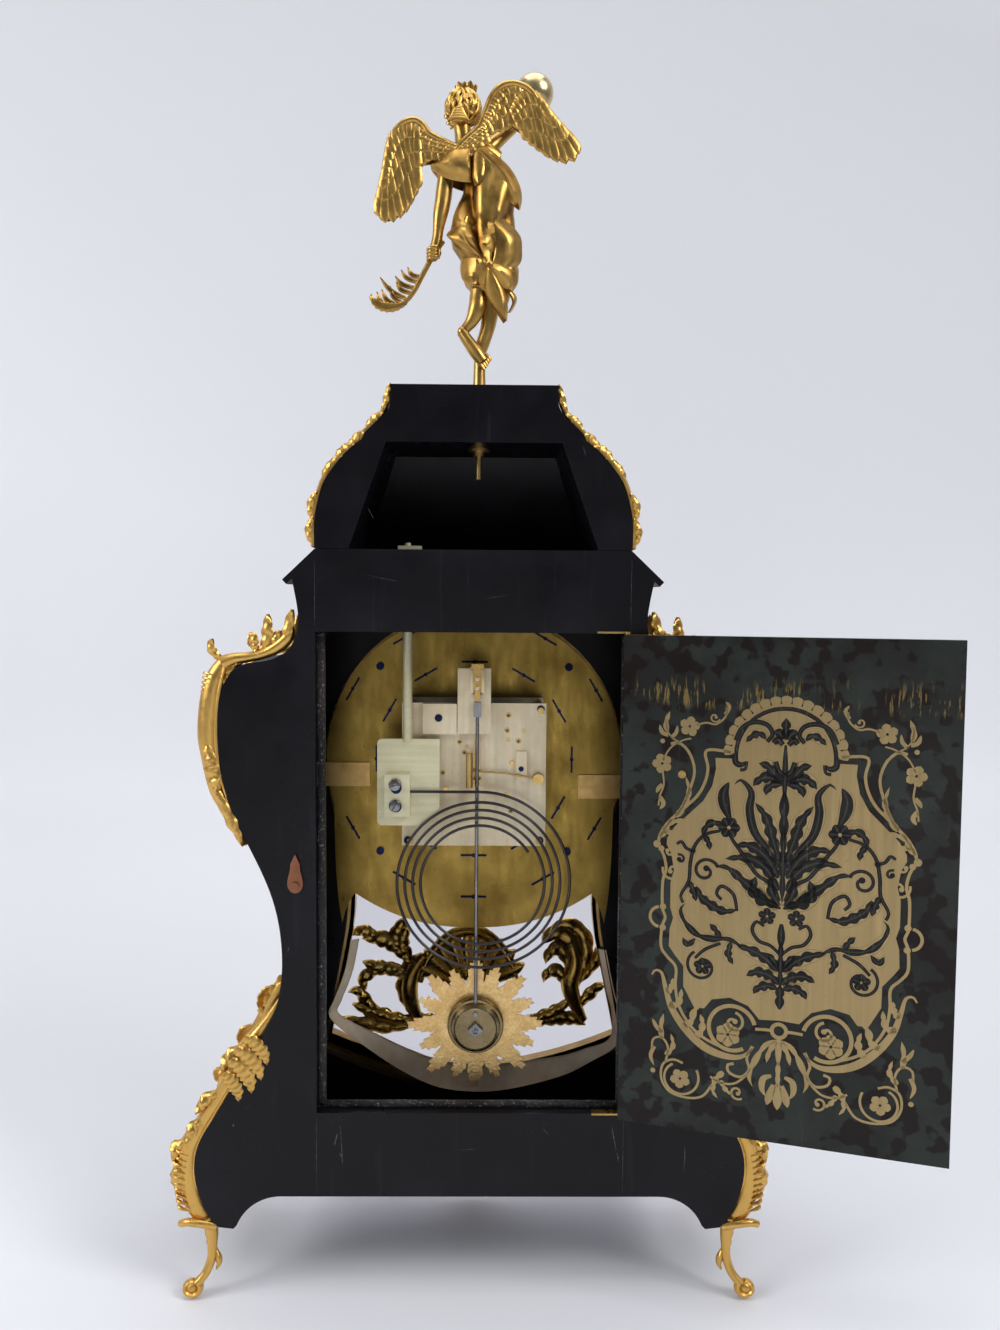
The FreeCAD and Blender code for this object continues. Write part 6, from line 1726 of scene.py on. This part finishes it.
class CLOCK_OT_shoulder_castings(bpy.types.Operator):
    """Cast the four shoulder mounts"""
    bl_idname = "clock.shoulder_castings"
    bl_label = "Shoulder castings"

    def execute(self, context):
        make_shoulder_mounts()
        return {"FINISHED"}


class CLOCK_OT_foot_castings(bpy.types.Operator):
    """Cast the four foot mounts"""
    bl_idname = "clock.foot_castings"
    bl_label = "Foot castings"

    def execute(self, context):
        make_foot_mounts()
        return {"FINISHED"}


class CLOCK_OT_apron_casting(bpy.types.Operator):
    """Cast the mount under the front"""
    bl_idname = "clock.apron_casting"
    bl_label = "Apron casting"

    def execute(self, context):
        make_apron_mount()
        return {"FINISHED"}


class CLOCK_OT_dome_castings(bpy.types.Operator):
    """Cast the leaves along the dome"""
    bl_idname = "clock.dome_castings"
    bl_label = "Dome castings"

    def execute(self, context):
        make_dome_mounts()
        return {"FINISHED"}


class CLOCK_OT_sunburst(bpy.types.Operator):
    """Cut the pendulum's sunburst and turn its bob"""
    bl_idname = "clock.sunburst"
    bl_label = "Sunburst"

    def execute(self, context):
        make_sunburst()
        return {"FINISHED"}


class CLOCK_OT_door_casting(bpy.types.Operator):
    """Cast the front door's shell and leaves"""
    bl_idname = "clock.door_casting"
    bl_label = "Front door casting"

    def execute(self, context):
        make_front_ornament()
        return {"FINISHED"}


class CLOCK_OT_figure(bpy.types.Operator):
    """Model the winged figure"""
    bl_idname = "clock.figure"
    bl_label = "Figure"

    def execute(self, context):
        make_figure()
        return {"FINISHED"}


class CLOCK_OT_wings(bpy.types.Operator):
    """Model the figure's wings"""
    bl_idname = "clock.wings"
    bl_label = "Wings"

    def execute(self, context):
        make_wings()
        return {"FINISHED"}


class CLOCK_OT_palm(bpy.types.Operator):
    """Model the palm branch"""
    bl_idname = "clock.palm"
    bl_label = "Palm branch"

    def execute(self, context):
        make_palm()
        return {"FINISHED"}


class CLOCK_OT_globe(bpy.types.Operator):
    """Model the globe"""
    bl_idname = "clock.globe"
    bl_label = "Globe"

    def execute(self, context):
        make_globe()
        return {"FINISHED"}


class CLOCK_OT_movement_details(bpy.types.Operator):
    """Add screw heads, bushings and cheeks"""
    bl_idname = "clock.movement_details"
    bl_label = "Movement details"

    def execute(self, context):
        make_movement_details()
        return {"FINISHED"}


class CLOCK_OT_window_liner(bpy.types.Operator):
    """Line the lower window"""
    bl_idname = "clock.window_liner"
    bl_label = "Window liner"

    def execute(self, context):
        make_window_liner()
        return {"FINISHED"}


class CLOCK_OT_case_wear(bpy.types.Operator):
    """Add joint lines, scratches and the doorway's stops"""
    bl_idname = "clock.case_wear"
    bl_label = "Case wear"

    def execute(self, context):
        make_case_wear()
        return {"FINISHED"}


class CLOCK_OT_stage(bpy.types.Operator):
    """Set up the pale room, soft lamps and the camera"""
    bl_idname = "clock.stage"
    bl_label = "Room and camera"

    def execute(self, context):
        make_stage()
        return {"FINISHED"}


OPERATORS = (CLOCK_OT_case, CLOCK_OT_movement, CLOCK_OT_marquetry, CLOCK_OT_shoulder_castings,
             CLOCK_OT_foot_castings, CLOCK_OT_apron_casting, CLOCK_OT_dome_castings, CLOCK_OT_sunburst,
             CLOCK_OT_door_casting, CLOCK_OT_figure, CLOCK_OT_wings, CLOCK_OT_palm, CLOCK_OT_globe,
             CLOCK_OT_movement_details, CLOCK_OT_window_liner, CLOCK_OT_case_wear, CLOCK_OT_stage)


class CLOCK_PT_pieces(bpy.types.Panel):
    """Lists the clock's pieces."""
    bl_idname = "CLOCK_PT_pieces"
    bl_label = "Clock"
    bl_space_type = "VIEW_3D"
    bl_region_type = "UI"
    bl_category = "Clock"

    def draw(self, context):
        for item in OPERATORS:
            self.layout.operator(item.bl_idname)


def register():
    """Make the settings, operators and panel known."""
    for item in (ClockColours, ClockSizes, *OPERATORS, CLOCK_PT_pieces):
        bpy.utils.register_class(item)
    bpy.types.Scene.clock_colours = bpy.props.PointerProperty(type=ClockColours)
    bpy.types.Scene.clock_sizes = bpy.props.PointerProperty(type=ClockSizes)


def unregister():
    """Take them away again."""
    del bpy.types.Scene.clock_sizes
    del bpy.types.Scene.clock_colours
    for item in reversed((ClockColours, ClockSizes, *OPERATORS, CLOCK_PT_pieces)):
        bpy.utils.unregister_class(item)


def main():
    """Dress the clock, piece by piece."""
    register()
    for item in OPERATORS:
        getattr(bpy.ops.clock, item.bl_idname.split(".")[1])()


if __name__ == "__main__":
    main()
